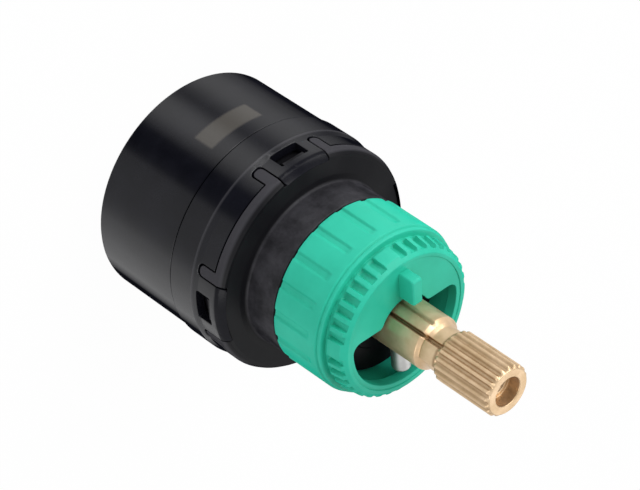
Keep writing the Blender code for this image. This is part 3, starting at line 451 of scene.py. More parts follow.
def closed_up(work, few=20):
    """Takes out loose scraps of a few faces and fills the slits that are left."""
    unseen = dict.fromkeys(work.faces)
    scraps = []
    while unseen:
        island = [unseen.popitem()[0]]
        for face in island:
            for edge in face.edges:
                for other in edge.link_faces if len(edge.link_faces) == 2 else ():
                    if other in unseen:
                        del unseen[other]
                        island.append(other)
        if len(island) < few:
            scraps += island
    bmesh.ops.delete(work, geom=scraps, context="FACES")
    slits = [edge for edge in work.edges if len(edge.link_faces) == 1]
    bmesh.ops.holes_fill(work, edges=slits, sides=0)


# The cutters leave thin fins standing on the disc's seat, which nothing else rises from.
with reworked(rear_body.data) as work:
    fins = []
    for face in work.faces:
        middle = face.calc_center_median() / MM
        if middle.z > SEAT_LEVEL + 0.02 and math.hypot(middle.x, middle.y) < 17.0:
            fins.append(face)
    bmesh.ops.delete(work, geom=fins, context="FACES")
with reworked(rear_body.data) as work:
    soften_rim(work, 0.0, PORT_EDGE)
with reworked(rear_body.data) as work:
    closed_up(work)
crisp(rear_body)

GRAIN_HEIGHT = 0.00002
BLACK_COAT_INDEX = 1.6
BLACK_COAT_FADE = (0.70, 0.82)


def new_group(name, inputs, outputs):
    """A shader node group with float inputs and outputs of the kinds given."""
    group = bpy.data.node_groups.new(name, "ShaderNodeTree")
    for label, value in inputs.items():
        socket = group.interface.new_socket(label, in_out="INPUT", socket_type="NodeSocketFloat")
        socket.default_value = value
    for label, kind in outputs.items():
        group.interface.new_socket(label, in_out="OUTPUT", socket_type=kind)
    return group, group.nodes.new("NodeGroupInput").outputs, group.nodes.new("NodeGroupOutput").inputs


def object_axes(tree):
    """Object coordinates, whole and as x, y and z."""
    place = tree.nodes.new("ShaderNodeTexCoord").outputs["Object"]
    axes = tree.nodes.new("ShaderNodeSeparateXYZ")
    tree.links.new(place, axes.inputs[0])
    return (place, *axes.outputs)


def noise(tree, place, **settings):
    """A noise texture at these coordinates."""
    texture = tree.nodes.new("ShaderNodeTexNoise")
    tree.links.new(place, texture.inputs["Vector"])
    for label, value in settings.items():
        feed(tree, texture.inputs[label], value)
    return texture.outputs["Fac"]


def bumped(tree, height, strength):
    """A normal for a fine relief."""
    bump = tree.nodes.new("ShaderNodeBump")
    bump.inputs["Distance"].default_value = GRAIN_HEIGHT
    feed(tree, bump.inputs["Strength"], strength)
    feed(tree, bump.inputs["Height"], height)
    return bump.outputs["Normal"]


def between(tree, value, low, high, to_low, to_high, way="LINEAR"):
    """The value carried from one range to another, and held at its ends."""
    carry = tree.nodes.new("ShaderNodeMapRange")
    carry.interpolation_type = way
    for socket, given in zip(carry.inputs, (value, low, high, to_low, to_high)):
        feed(tree, socket, given)
    return carry.outputs["Result"]


def inside(tree, value, low, high, soft):
    """1 where the value lies between two limits, with soft ends."""
    rise = between(tree, value, low - soft, low + soft, 0.0, 1.0)
    return number(tree, "MULTIPLY", rise, between(tree, value, high - soft, high + soft, 1.0, 0.0))


def blend(tree, mask, first, second, data="RGBA", way="MIX"):
    """A mix by a mask of two colours or numbers, each a plain value or a socket."""
    mix = tree.nodes.new("ShaderNodeMix")
    mix.data_type = data
    mix.blend_type = way
    for label, value in (("Factor", mask), ("A", first), ("B", second)):
        feed(tree, mix.inputs[label], (*value, 1.0) if isinstance(value, tuple) else value)
    return mix.outputs["Result"]


def tinted(tree, mask, colour):
    """Mixes a colour by a mask into what feeds the base colour."""
    base = tree.nodes["Principled BSDF"].inputs["Base Color"]
    feed(tree, base, blend(tree, mask, base.links[0].from_socket, colour))


def moulding_group():
    """Moulded surface: fine grain as a normal, and slow cloudy change as a mask."""
    group, given, result = new_group(
        "moulded surface",
        {"Grain scale": 2600.0, "Grain depth": 0.15, "Cloud scale": 90.0},
        {"Normal": "NodeSocketVector", "Cloud": "NodeSocketFloat"},
    )
    place = group.nodes.new("ShaderNodeTexCoord").outputs["Object"]
    grain = noise(group, place, Scale=given["Grain scale"], Detail=3.0)
    cloud = noise(group, place, Scale=given["Cloud scale"], Detail=4.0, Roughness=0.6)
    feed(group, result["Normal"], bumped(group, grain, given["Grain depth"]))
    feed(group, result["Cloud"], cloud)
    return group


moulded_surface = moulding_group()


def moulded_material(name, dark, light, roughness, grain):
    """Moulded plastic whose colour and roughness change slowly, with a fine grain."""
    finish, tree, shader = new_finish(name)
    surface = tree.nodes.new("ShaderNodeGroup")
    surface.node_tree = moulded_surface
    surface.inputs["Grain depth"].default_value = grain
    cloud = surface.outputs["Cloud"]
    colour = blend(tree, between(tree, cloud, 0.35, 0.65, 0.0, 1.0), dark, light)
    feed(tree, shader.inputs["Base Color"], colour)
    feed(tree, shader.inputs["Roughness"], between(tree, cloud, 0.3, 0.7, *roughness))
    feed(tree, shader.inputs["Normal"], surface.outputs["Normal"])
    return finish


def painted_reflection_round():
    """Painted reflection bands: gloss by angle round the body that stands for the soft boxes' reflections,
    and one plain gloss on the flat rear face.
    """
    group, _, result = new_group("painted reflection bands round the body", {}, {"Gloss": "NodeSocketFloat"})
    _, x, y, z = object_axes(group)
    turn = number(group, "ARCTAN2", y, x)
    ramp = group.nodes.new("ShaderNodeValToRGB")
    ramp.color_ramp.interpolation = "B_SPLINE"
    marks = ramp.color_ramp.elements
    marks.remove(marks[1])
    for k, (angle, level) in enumerate(PAINTED_REFLECTION_BANDS):
        share = (angle + 180.0) / 360.0
        mark = marks.new(share) if k else marks[0]
        mark.position = share
        mark.color = (level, level, level, 1.0)
    feed(group, ramp.inputs["Fac"], between(group, turn, -math.pi, math.pi, 0.0, 1.0))
    wall = between(group, z, *REAR_FACE_FADE, 0.0, 1.0)
    feed(group, result["Gloss"], blend(group, wall, REAR_FACE_GLOSS, ramp.outputs["Color"], "FLOAT"))
    return group


painted_reflection_group = painted_reflection_round()


def glossed(finish, level, roughness, index, limits):
    """A thin skin of gloss over a moulded plastic. It fades between two facing limits at the outline."""
    tree = finish.node_tree
    shader = tree.nodes["Principled BSDF"]
    for label, value in (("Specular IOR Level", 0.0), ("Coat Roughness", roughness), ("Coat IOR", index)):
        shader.inputs[label].default_value = value
    facing = tree.nodes.new("ShaderNodeLayerWeight").outputs["Facing"]
    fade = between(tree, facing, *limits, 1.0, 0.0)
    feed(tree, shader.inputs["Coat Weight"], number(tree, "MULTIPLY", level, fade))
    return finish


def black_plastic(name, dark, light, grain, roughness, dullest, glossiest):
    """Black plastic whose gloss changes round the body in bands, which are painted reflections of soft boxes.
    """
    finish = moulded_material(name, dark, light, (0.5, 0.6), grain)
    painted_bands = finish.node_tree.nodes.new("ShaderNodeGroup")
    painted_bands.node_tree = painted_reflection_group
    level = between(finish.node_tree, painted_bands.outputs["Gloss"], 0.0, 1.0, dullest, glossiest)
    return glossed(finish, level, roughness, BLACK_COAT_INDEX, BLACK_COAT_FADE)


black_body = black_plastic(
    "black_polyamide", (0.0035, 0.0037, 0.0060), (0.0070, 0.0072, 0.0110), 0.10, 0.26, 0.0, 1.0
)


def marked_black():
    """The rear body's black, with a bare patch that is slightly greyer and duller."""
    finish, tree, shader = new_finish("black_polyamide_with_patch", black_body)
    _, x, y, z = object_axes(tree)
    start, end = (math.radians(angle) for angle in PATCH_ANGLES)
    low, high = (height * MM for height in PATCH_HEIGHTS)
    across = inside(tree, number(tree, "ARCTAN2", y, x), start, end, 0.012)
    mask = number(tree, "MULTIPLY", across, inside(tree, z, low, high, 0.0003))
    tinted(tree, mask, (0.060, 0.055, 0.049))
    rough = shader.inputs["Roughness"]
    feed(tree, rough, blend(tree, mask, rough.links[0].from_socket, 0.62, "FLOAT"))
    return finish


def dress(obj, finish, body, node):
    """Gives a finished piece its material in a slot of its own and its body, and hides the CAD node that it
    stands for.
    """
    obj.data.materials.clear()
    obj.data.materials.append(finish)
    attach(obj, body)
    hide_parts(node)


dress(rear_body, marked_black(), "housing", "rear_body")

# Hook housing
# Black moulded ring that snaps on to the rear body. A thicker band runs round its foot, and four
# spring hooks with windows reach forward over the front housing's latch nubs.

BAND_RADIUS = 22.75
COLLAR_RADIUS = 22.3
BORE_RADIUS = 20.5
BAND_TOP = 26.3
COLLAR_LOW = 27.7
COLLAR_TOP = 31.3
HOOK_TOP = 34.1
FRONT_TAPER = ((32.3, 22.3), (33.0, 22.0), (33.7, 21.5), (34.4, 20.9))  # height and radius
HOOKS = ((0.0, 19.6), (90.0, 17.2), (180.0, 19.6), (270.0, 17.2))  # middle, and from it to the fingers
SLOT_HALF = 3.42
SLOT_FOOT = 27.3
WINDOW_HALF = 8.0
WINDOW_LOW = 27.3
WINDOW_TOP = 30.8


def radius_at(profile, height):
    """The radius at this height of a profile of (height, radius)."""
    for (low, low_radius), (high, high_radius) in zip(profile, profile[1:]):
        if height <= high:
            along = max(0.0, (height - low) / (high - low))
            return low_radius + (high_radius - low_radius) * along
    return profile[-1][1]


def sliced(work, where, way, clear=False):
    """Cuts the mesh by a plane, and clears the side that the plane faces if wanted."""
    everything = work.verts[:] + work.edges[:] + work.faces[:]
    bmesh.ops.bisect_plane(work, geom=everything, plane_co=where, plane_no=way, dist=1e-8, clear_outer=clear)


def wrapped(name, outlines, outside, inner_side, edge, span=None, strips=180):
    """Outlines in degrees and mm, as a plate with rounded edges, bent into a wall about Z.

    The two sides are lists of (height, radius). A span is given where the wall closes."""
    reach = 1.0 / math.degrees(1.0) * COLLAR_RADIUS
    thick = COLLAR_RADIUS - inner_side[0][1]
    flat = [rounded([(a * reach, z, *r) for a, z, *r in outline]) for outline in outlines]
    obj = plate(name, flat, -thick / 2, thick / 2, edge)
    with reworked(obj.data) as work:
        step = 360.0 / strips * reach * MM
        first = math.floor(min(vert.co.x for vert in work.verts) / step)
        last = math.ceil(max(vert.co.x for vert in work.verts) / step)
        for k in range(first, last + 1):
            sliced(work, (k * step, 0, 0), (1, 0, 0))
        for height, _ in outside + inner_side:
            sliced(work, (0, height * MM, 0), (0, 1, 0))
        for angle, side in zip(span or (), (-1.0, 1.0)):
            sliced(work, (angle * reach * MM, 0, 0), (side, 0, 0), clear=True)
        for vert in work.verts:
            angle = vert.co.x / (reach * MM) / math.degrees(1.0)
            height = vert.co.y / MM
            outer, inner = (radius_at(profile, height) for profile in (outside, inner_side))
            depth = vert.co.z / (thick * MM) + 0.5
            radius = (inner + (outer - inner) * depth) * MM
            vert.co = (radius * math.cos(angle), radius * math.sin(angle), vert.co.y)
        bmesh.ops.remove_doubles(work, verts=work.verts, dist=1e-6)
        bmesh.ops.dissolve_limit(work, angle_limit=math.radians(0.3), verts=work.verts, edges=work.edges)
        bmesh.ops.recalc_face_normals(work, faces=work.faces)
    return obj


rim = [(42.0, REAR_LENGTH + SEAM), (408.0, REAR_LENGTH + SEAM), (408.0, COLLAR_TOP - SEAM)]
for hook, apart in ((360.0, HOOKS[0][1]),) + HOOKS[:0:-1]:
    rim += [
        (hook + apart + SLOT_HALF, COLLAR_TOP - SEAM, 0.15),
        (hook + apart + SLOT_HALF, SLOT_FOOT, 0.9),
        (hook + apart - SLOT_HALF, SLOT_FOOT, 0.9),
        (hook + apart - SLOT_HALF, HOOK_TOP, 0.6),
        (hook - apart + SLOT_HALF, HOOK_TOP, 0.6),
        (hook - apart + SLOT_HALF, SLOT_FOOT, 0.9),
        (hook - apart - SLOT_HALF, SLOT_FOOT, 0.9),
        (hook - apart - SLOT_HALF, COLLAR_TOP - SEAM, 0.15),
    ]
rim.append((42.0, COLLAR_TOP - SEAM))
windows = [
    [
        (hook - WINDOW_HALF, WINDOW_LOW, 0.25),
        (hook + WINDOW_HALF, WINDOW_LOW, 0.25),
        (hook + WINDOW_HALF, WINDOW_TOP, 0.25),
        (hook - WINDOW_HALF, WINDOW_TOP, 0.25),
    ]
    for hook in (90.0, 180.0, 270.0, 360.0)
]
hook_housing = wrapped(
    "hook_housing_shell",
    [rim] + windows,
    [(20.0, BAND_RADIUS), (BAND_TOP, BAND_RADIUS), (COLLAR_LOW, COLLAR_RADIUS), *FRONT_TAPER],
    [(20.0, BORE_RADIUS), (30.95, BORE_RADIUS), (31.15, 21.2), (HOOK_TOP, 21.2)],
    0.12,
    span=(45.0, 405.0),
)
crisp(hook_housing, folds=(BAND_TOP, COLLAR_LOW))


def edge_highlight_black():
    """The hook housing's black: a pale line painted along the band's edge as a painted highlight, and dull on
    the hooks' tapered ends.
    """
    finish, tree, shader = new_finish("black_polyamide_edge_highlight", black_body)
    height = object_axes(tree)[3]
    # Painted highlight: a pale line along the band's top edge, where its chamfer catches the light.
    rise = between(tree, height, 0.02610, 0.02632, 0.0, 0.6)
    fall = between(tree, height, 0.02640, 0.02675, 1.0, 0.0)
    tinted(tree, number(tree, "MULTIPLY", rise, fall), (0.050, 0.049, 0.056))
    gloss = shader.inputs["Coat Weight"]
    dull = between(tree, height, 0.0319, 0.0323, 1.0, 0.25)
    feed(tree, gloss, number(tree, "MULTIPLY", gloss.links[0].from_socket, dull))
    return finish


dress(hook_housing, edge_highlight_black(), "housing", "hook_housing")

# Front housing
# Black moulded flange with a finger on either side of each hook, a latch nub behind each window,
# the neck, and the splined hub that carries the limit ring.

FLANGE_FACE = 34.2
FLANGE_EDGE = 33.7  # where the slightly domed face meets its tapered side
NECK_RADIUS = 16.5
NECK_TOP = 41.3
HUB_RADIUS = 12.6
RECESS_RADIUS = 20.9  # of the flange behind the hooks' ends
HUB_FACE = 51.8
SPLINE_TOP = 48.0
FINGER_FOOT = 27.6
FINGER_HALF = 2.68


def from_axis(tree, x, y):
    """The distance from Z."""
    squares = number(tree, "ADD", number(tree, "MULTIPLY", x, x), number(tree, "MULTIPLY", y, y))
    return number(tree, "SQRT", squares)


def relief_tree():
    """Geometry Nodes: grooves or ridges spaced evenly round a turned piece, with soft sides and ends."""
    tree = bpy.data.node_groups.new("grooves round a turning", "GeometryNodeTree")
    tree.interface.new_socket("Geometry", in_out="INPUT", socket_type="NodeSocketGeometry")
    for label in (
        "Count",
        "First angle",
        "Half angle",
        "Soft angle",
        "Target radius",
        "Sense",
        "Inner radius",
        "Outer radius",
        "Low",
        "High",
        "Soft end",
        "Period",
        "First left out",
        "Second left out",
    ):
        tree.interface.new_socket(label, in_out="INPUT", socket_type="NodeSocketFloat")
    tree.interface.new_socket("Finish", in_out="INPUT", socket_type="NodeSocketMaterial")
    tree.interface.new_socket("Geometry", in_out="OUTPUT", socket_type="NodeSocketGeometry")
    given = tree.nodes.new("NodeGroupInput").outputs
    position = tree.nodes.new("GeometryNodeInputPosition")
    axes = tree.nodes.new("ShaderNodeSeparateXYZ")
    tree.links.new(position.outputs[0], axes.inputs[0])
    x, y, z = axes.outputs
    radius = from_axis(tree, x, y)
    angle = number(tree, "DEGREES", number(tree, "ARCTAN2", y, x))
    pitch = number(tree, "DIVIDE", 360.0, given["Count"])
    past_first = number(tree, "SUBTRACT", angle, given["First angle"])
    turns = number(tree, "ADD", number(tree, "DIVIDE", past_first, pitch), 0.5)
    off_middle = number(tree, "ABSOLUTE", number(tree, "SUBTRACT", number(tree, "FRACT", turns), 0.5))
    away = number(tree, "MULTIPLY", off_middle, pitch)
    half_soft = number(tree, "MULTIPLY", given["Soft angle"], 0.5)
    near = number(tree, "SUBTRACT", given["Half angle"], half_soft)
    far = number(tree, "ADD", given["Half angle"], half_soft)
    mask = between(tree, away, near, far, 1.0, 0.0, "SMOOTHSTEP")
    soft = number(tree, "MULTIPLY", given["Soft end"], 0.5)
    for limit, before, after in (("Low", 0.0, 1.0), ("High", 1.0, 0.0)):
        start = number(tree, "SUBTRACT", given[limit], soft)
        end = number(tree, "ADD", given[limit], soft)
        end_mask = between(tree, z, start, end, before, after, "SMOOTHSTEP")
        mask = number(tree, "MULTIPLY", mask, end_mask)
    mask = number(tree, "MULTIPLY", mask, number(tree, "GREATER_THAN", radius, given["Inner radius"]))
    mask = number(tree, "MULTIPLY", mask, number(tree, "LESS_THAN", radius, given["Outer radius"]))
    place = number(tree, "FLOORED_MODULO", number(tree, "FLOOR", turns), given["Period"])
    for label in ("First left out", "Second left out"):
        apart = number(tree, "ABSOLUTE", number(tree, "SUBTRACT", place, given[label]))
        mask = number(tree, "MULTIPLY", mask, number(tree, "GREATER_THAN", apart, 0.5))
    flat = tree.nodes.new("ShaderNodeCombineXYZ")
    tree.links.new(x, flat.inputs[0])
    tree.links.new(y, flat.inputs[1])
    outward = tree.nodes.new("ShaderNodeVectorMath")
    outward.operation = "NORMALIZE"
    tree.links.new(flat.outputs[0], outward.inputs[0])
    shift = tree.nodes.new("ShaderNodeVectorMath")
    shift.operation = "SCALE"
    tree.links.new(outward.outputs[0], shift.inputs[0])
    short = number(tree, "SUBTRACT", given["Target radius"], radius)
    wanted = number(tree, "MAXIMUM", number(tree, "MULTIPLY", short, given["Sense"]), 0.0)
    amount = number(tree, "MULTIPLY", number(tree, "MULTIPLY", wanted, given["Sense"]), mask)
    tree.links.new(amount, shift.inputs["Scale"])
    move = tree.nodes.new("GeometryNodeSetPosition")
    tree.links.new(given["Geometry"], move.inputs["Geometry"])
    tree.links.new(shift.outputs[0], move.inputs["Offset"])
    real = tree.nodes.new("GeometryNodeRealizeInstances")
    tree.links.new(move.outputs[0], real.inputs[0])
    coat = tree.nodes.new("GeometryNodeSetMaterial")
    tree.links.new(real.outputs[0], coat.inputs["Geometry"])
    tree.links.new(given["Finish"], coat.inputs["Material"])
    tree.links.new(coat.outputs[0], tree.nodes.new("NodeGroupOutput").inputs[0])
    return tree


grooves_round = relief_tree()


def relief(
    obj, finish, count, first, half, soft, target, radii, heights, soft_end, left_out=(-1, -1), period=1000
):
    """Adds one row of grooves or ridges down or up to a target radius. Lengths in mm, angles in degrees.

    What lies in the row between the two radii moves: inwards where the target is the inner one."""
    row = obj.modifiers.new("relief", "NODES")
    row.node_group = grooves_round
    values = {
        "Count": count,
        "First angle": first,
        "Half angle": half,
        "Soft angle": soft,
        "Target radius": target * MM,
        "Sense": -1.0 if target - radii[0] < radii[1] - target else 1.0,
        "Inner radius": radii[0] * MM,
        "Outer radius": radii[1] * MM,
        "Low": heights[0] * MM,
        "High": heights[1] * MM,
        "Soft end": soft_end * MM,
        "Period": period,
        "First left out": left_out[0],
        "Second left out": left_out[1],
    }
    for item in grooves_round.interface.items_tree:
        if item.in_out == "INPUT" and item.name in values:
            row[item.identifier] = float(values[item.name])
        elif item.in_out == "INPUT" and item.name == "Finish":
            row[item.identifier] = finish
    applied(obj)
    with reworked(obj.data) as work:
        bmesh.ops.remove_doubles(work, verts=work.verts, dist=2e-6)
        bmesh.ops.dissolve_degenerate(work, edges=work.edges, dist=1e-6)


front_housing = turned(
    "front_housing_shell",
    fine(
        rounded(
            [
                (8.0, HUB_FACE, 0.15),
                (HUB_RADIUS, HUB_FACE, 0.35),
                (HUB_RADIUS, 49.8, 0.3),
                (13.2, 48.3, 0.2),
                (14.3, SPLINE_TOP - 0.3, 0.1),
                (14.3, NECK_TOP, 0.1),
                (NECK_RADIUS, NECK_TOP, 0.25),
                (NECK_RADIUS, FLANGE_FACE, 0.6),
                (18.0, FLANGE_FACE, 2.0),
                (RECESS_RADIUS, FLANGE_EDGE, 0.15),
                (RECESS_RADIUS, COLLAR_TOP + SEAM, 0.1),
                (20.2, COLLAR_TOP + SEAM),
                (20.2, 26.9, 0.1),
                (18.7, 26.9, 0.1),
                (18.7, 25.4, 0.1),
                (20.2, 25.4, 0.1),
                (20.2, 24.8, 0.2),
                (16.3, 24.8, 0.2),
                (16.3, 29.7),
                (12.8, 29.7),
                (12.8, 36.7),
                (6.5, 36.7),
                (6.5, 48.3),
                (8.0, 48.3),
                (8.0, 50.0),
            ]
        ),
        1.5,
    ),
    240,
)
relief(front_housing, black_body, 20, 9.0, 5.4, 0.8, 13.5, (13.4, 14.4), (NECK_TOP - 0.5, 49.0), 0.1)
islands = []
for (hook, apart), (_, apart_after) in zip(HOOKS, HOOKS[1:] + HOOKS[:1]):
    first, last = hook + apart, hook + 90.0 - apart_after
    islands.append(
        [
            (first - FINGER_HALF, FINGER_FOOT, 0.9),
            (first + FINGER_HALF, FINGER_FOOT, 0.9),
            (first + FINGER_HALF, COLLAR_TOP + SEAM, 0.2),
            (last - FINGER_HALF, COLLAR_TOP + SEAM, 0.2),
            (last - FINGER_HALF, FINGER_FOOT, 0.9),
            (last + FINGER_HALF, FINGER_FOOT, 0.9),
            (last + FINGER_HALF, FLANGE_EDGE, 0.15),
            (first - FINGER_HALF, FLANGE_EDGE, 0.15),
        ]
    )
rim_pieces = [
    wrapped(
        "flange_rim", [island], [(27.0, COLLAR_RADIUS), *FRONT_TAPER], [(27.0, 19.4), (35.0, 19.4)], 0.1
    )
    for island in islands
]
nubs = []
for hook in (0.0, 90.0, 180.0, 270.0):
    side_view = rounded([(19.5, 28.3), (20.4, 28.3), (21.8, 29.9, 0.2), (21.8, 30.5, 0.15), (19.5, 30.5)])
    nub = plate("nub", [side_view], -2.4, 2.4, 0.1)
    nub.data.transform(Matrix.Rotation(math.radians(90), 4, "X"))
    nub.data.transform(Matrix.Rotation(math.radians(hook), 4, "Z"))
    nubs.append(nub)
combined(front_housing, rim_pieces + nubs, "UNION")
crisp(front_housing)


def dust_and_side_light_black():
    """The front housing's black: dull on the flange, dusty grey on its neck, and a plain grey on its outer
    side that is partly dust and partly painted light.
    """
    finish = black_plastic(
        "black_polyamide_dull", (0.0055, 0.0055, 0.0070), (0.0085, 0.0085, 0.0100), 0.25, 0.42, 0.10, 0.26
    )
    tree = finish.node_tree
    place, x, y, z = object_axes(tree)
    radius = from_axis(tree, x, y)
    within = between(tree, radius, 0.01655, 0.0169, 1.0, 0.0)
    neck = number(tree, "MULTIPLY", within, between(tree, z, 0.0505, 0.0510, 1.0, 0.0))
    # The outer side's plain grey is partly dust and partly painted light that lifts the side.
    side = between(tree, radius, 0.0218, 0.0221, 0.0, 1.0)
    smears = noise(tree, place, Scale=260.0, Detail=6.0, Roughness=0.65)
    patchy = number(tree, "MULTIPLY", neck, between(tree, smears, 0.35, 0.68, 0.25, 1.0))
    dust_and_side_light = number(tree, "MAXIMUM", patchy, number(tree, "MULTIPLY", side, 0.85))
    tinted(tree, dust_and_side_light, (0.046, 0.045, 0.052))
    return finish


dull_black = dust_and_side_light_black()
dress(front_housing, dull_black, "housing", "front_housing")

# Guide bush
# Black plastic bush pressed into the mouth of the hub, which steadies the stem.

guide_bush = turned(
    "guide_bush_ring", rounded([(5.4, 51.8, 0.2), (7.97, 51.8, 0.1), (7.97, 48.3), (5.4, 48.3)]), 96
)
crisp(guide_bush)
dress(guide_bush, dull_black, "housing", "guide_bush")

# Limit ring
# Green moulded acetal ring that sets how far the spindle turns. It has shallow flutes on its skirt,
# a toothed band, splines inside, and a front plate cut away on one side to let the stop pin swing.

RING_FOOT = 41.6
RING_PLATE_TOP = 57.8
RING_PLATE_LOW = 55.6
RING_FRONT = 58.0


green = glossed(
    moulded_material("green_acetal", (0.020, 0.452, 0.305), (0.028, 0.515, 0.355), (0.50, 0.60), 0.10),
    0.42,
    0.42,
    1.5,
    (0.50, 0.80),
)
limit_ring = turned(
    "limit_ring_body",
    fine(
        rounded(
            [
                (13.2, RING_FRONT - 0.5),
                (13.25, RING_FRONT, 0.12),
                (13.95, RING_FRONT, 0.30),
                (15.1, 57.1, 0.35),
                (15.5, 54.1, 0.15),
                (14.9, 54.1, 0.1),
                (14.9, 53.3, 0.1),
                (16.20, 53.3, 0.30),
                (16.32, 52.62, 0.10),
                (16.12, 52.50, 0.05),
                (16.30, 52.38, 0.10),
                (16.59, 52.25, 0.20),
                (16.65, RING_FOOT, 0.30),
                (13.8, RING_FOOT, 0.20),
                (13.8, 48.6),
                (13.2, 50.1),
            ]
        ),
        0.55,
    ),
    720,
)
# The skirt's flutes, the band's pockets, and the splines inside.
relief(limit_ring, green, 18, 89.7, 2.4, 1.6, 16.22, (16.2, 17.0), (41.0, 50.3), 0.3)
relief(limit_ring, green, 38, 96.5, 2.7, 0.8, 14.4, (14.35, 15.7), (53.9, 57.4), 0.3, (0, 8), 19)
relief(limit_ring, green, 20, 0.0, 4.87, 0.8, 14.6, (13.5, 14.65), (41.0, 48.3), 0.3)

STEM_HOLE = 5.8
STOP_EDGE = 2.1
OPENING_RADIUS = 12.35
OPENING_CORNER = 1.8
STOP_CORNER = 1.2


def half_moon():
    """The opening of the front plate: the stem's hole above, and the pin's sweep below two stop edges."""
    low = STOP_EDGE - OPENING_CORNER
    corner = (math.sqrt((OPENING_RADIUS - OPENING_CORNER) ** 2 - low**2), low)
    corner_angle = math.degrees(math.atan2(corner[1], corner[0]))
    high = STOP_EDGE + STOP_CORNER
    edge = (math.sqrt((STEM_HOLE + STOP_CORNER) ** 2 - high**2), high)
    edge_angle = math.degrees(math.atan2(edge[1], edge[0]))
    right = (
        arc(corner, OPENING_CORNER, corner_angle, 90, 8)
        + arc(edge, STOP_CORNER, -90, edge_angle - 180, 8)
        + arc((0, 0), STEM_HOLE, edge_angle, 90, 16)[1:]
    )
    left = [(-x, y) for x, y in reversed(right[:-1])]
    below = arc((0, 0), OPENING_RADIUS, 180 - corner_angle, 360 + corner_angle, 72)[1:-1]
    return right + left + below


front_plate = plate("front_plate", [circle(13.5, 144), half_moon()], RING_PLATE_LOW, RING_PLATE_TOP, 0.15)
tab_side = rounded(
    [
        (6.6, RING_PLATE_TOP - 1.0),
        (12.1, RING_PLATE_TOP - 1.0),
        (12.1, RING_PLATE_TOP + 3.6, 0.55),
        (6.6, RING_PLATE_TOP + 3.6, 0.5),
    ]
)
tab = plate("tab", [tab_side], -1.1, 1.1, 0.35)
tab.data.transform(Matrix.Rotation(math.radians(90), 4, "X"))
tab.data.transform(Matrix.Rotation(math.radians(90), 4, "Z"))
combined(limit_ring, [front_plate, tab], "UNION")
crisp(limit_ring)
dress(limit_ring, green, "limit_ring", "limit_ring")

# Spindle
# Turned brass stem with a broached twenty-tooth head for the handle, a waist with a raised pad,
# two grooves along the stem, and a threaded hole in its end.

HEAD_TOP = 83.1
HEAD_LOW = 69.6
HEAD_RADIUS = 5.04
STEM_RADIUS = 5.2
WAIST_RADIUS = 4.15
SHAFT_RADIUS = 6.1
SHAFT_FLOOR = 4.5  # of the two grooves for the shaft's seals
THREAD_RADIUS = 2.1
THREAD_DEPTH = 0.40
THREAD_LOW = 73.0
SINK_RADIUS = 2.9
SINK_FLOOR = 80.4
THREAD_PITCH = 0.8
# Painted shade: the tint that darkens the brass in its hollows.
PAINTED_SHADE_TINT = (0.42, 0.36, 0.30)
TURNED_SHAPE = (
    (52.0, STEM_RADIUS),
    (65.3, STEM_RADIUS),
    (66.1, 4.45),
    (66.9, WAIST_RADIUS),
    (HEAD_LOW - 0.02, WAIST_RADIUS),
    (HEAD_LOW + 0.3, HEAD_RADIUS),
    (HEAD_TOP - 0.7, HEAD_RADIUS),
    (HEAD_TOP, 4.4),
)


def machined_group():
    """Machined metal: fine marks drawn out along or round the axis, as a normal and a mask."""
    group, given, result = new_group(
        "machined surface",
        {"Across scale": 3000.0, "Along scale": 100.0, "Depth": 0.3},
        {"Normal": "NodeSocketVector", "Marks": "NodeSocketFloat", "Cloud": "NodeSocketFloat"},
    )
    place, *axes = object_axes(group)
    stretched = group.nodes.new("ShaderNodeCombineXYZ")
    scales = ("Across scale", "Across scale", "Along scale")
    for socket, axis, scale in zip(stretched.inputs, axes, scales):
        feed(group, socket, number(group, "MULTIPLY", axis, given[scale]))
    marks = noise(group, stretched.outputs[0], Scale=1.0, Detail=4.0)
    feed(group, result["Normal"], bumped(group, marks, given["Depth"]))
    feed(group, result["Marks"], marks)
    feed(group, result["Cloud"], noise(group, place, Scale=350.0, Detail=3.0))
    return group


machined_surface = machined_group()


def machined_material(name, dark, light, roughness, across, along, depth, metallic=1.0):
    """Machined metal with drawn marks and an uneven tarnish, and painted shade that darkens it where the
    piece's hollows are.
    """
    finish, tree, shader = new_finish(name)
    shader.inputs["Metallic"].default_value = metallic
    surface = tree.nodes.new("ShaderNodeGroup")
    surface.node_tree = machined_surface
    for label, value in (("Across scale", across), ("Along scale", along), ("Depth", depth)):
        surface.inputs[label].default_value = value
    colour = blend(tree, between(tree, surface.outputs["Cloud"], 0.35, 0.65, 0.0, 1.0), dark, light)
    painted_hollow_shade = tree.nodes.new("ShaderNodeAttribute")
    painted_hollow_shade.attribute_name = "painted_hollow_shade"
    dimmed = blend(tree, painted_hollow_shade.outputs["Fac"], colour, PAINTED_SHADE_TINT, way="MULTIPLY")
    feed(tree, shader.inputs["Base Color"], dimmed)
    roughness = between(tree, surface.outputs["Marks"], 0.3, 0.7, *roughness)
    feed(tree, shader.inputs["Roughness"], roughness)
    feed(tree, shader.inputs["Normal"], surface.outputs["Normal"])
    return finish


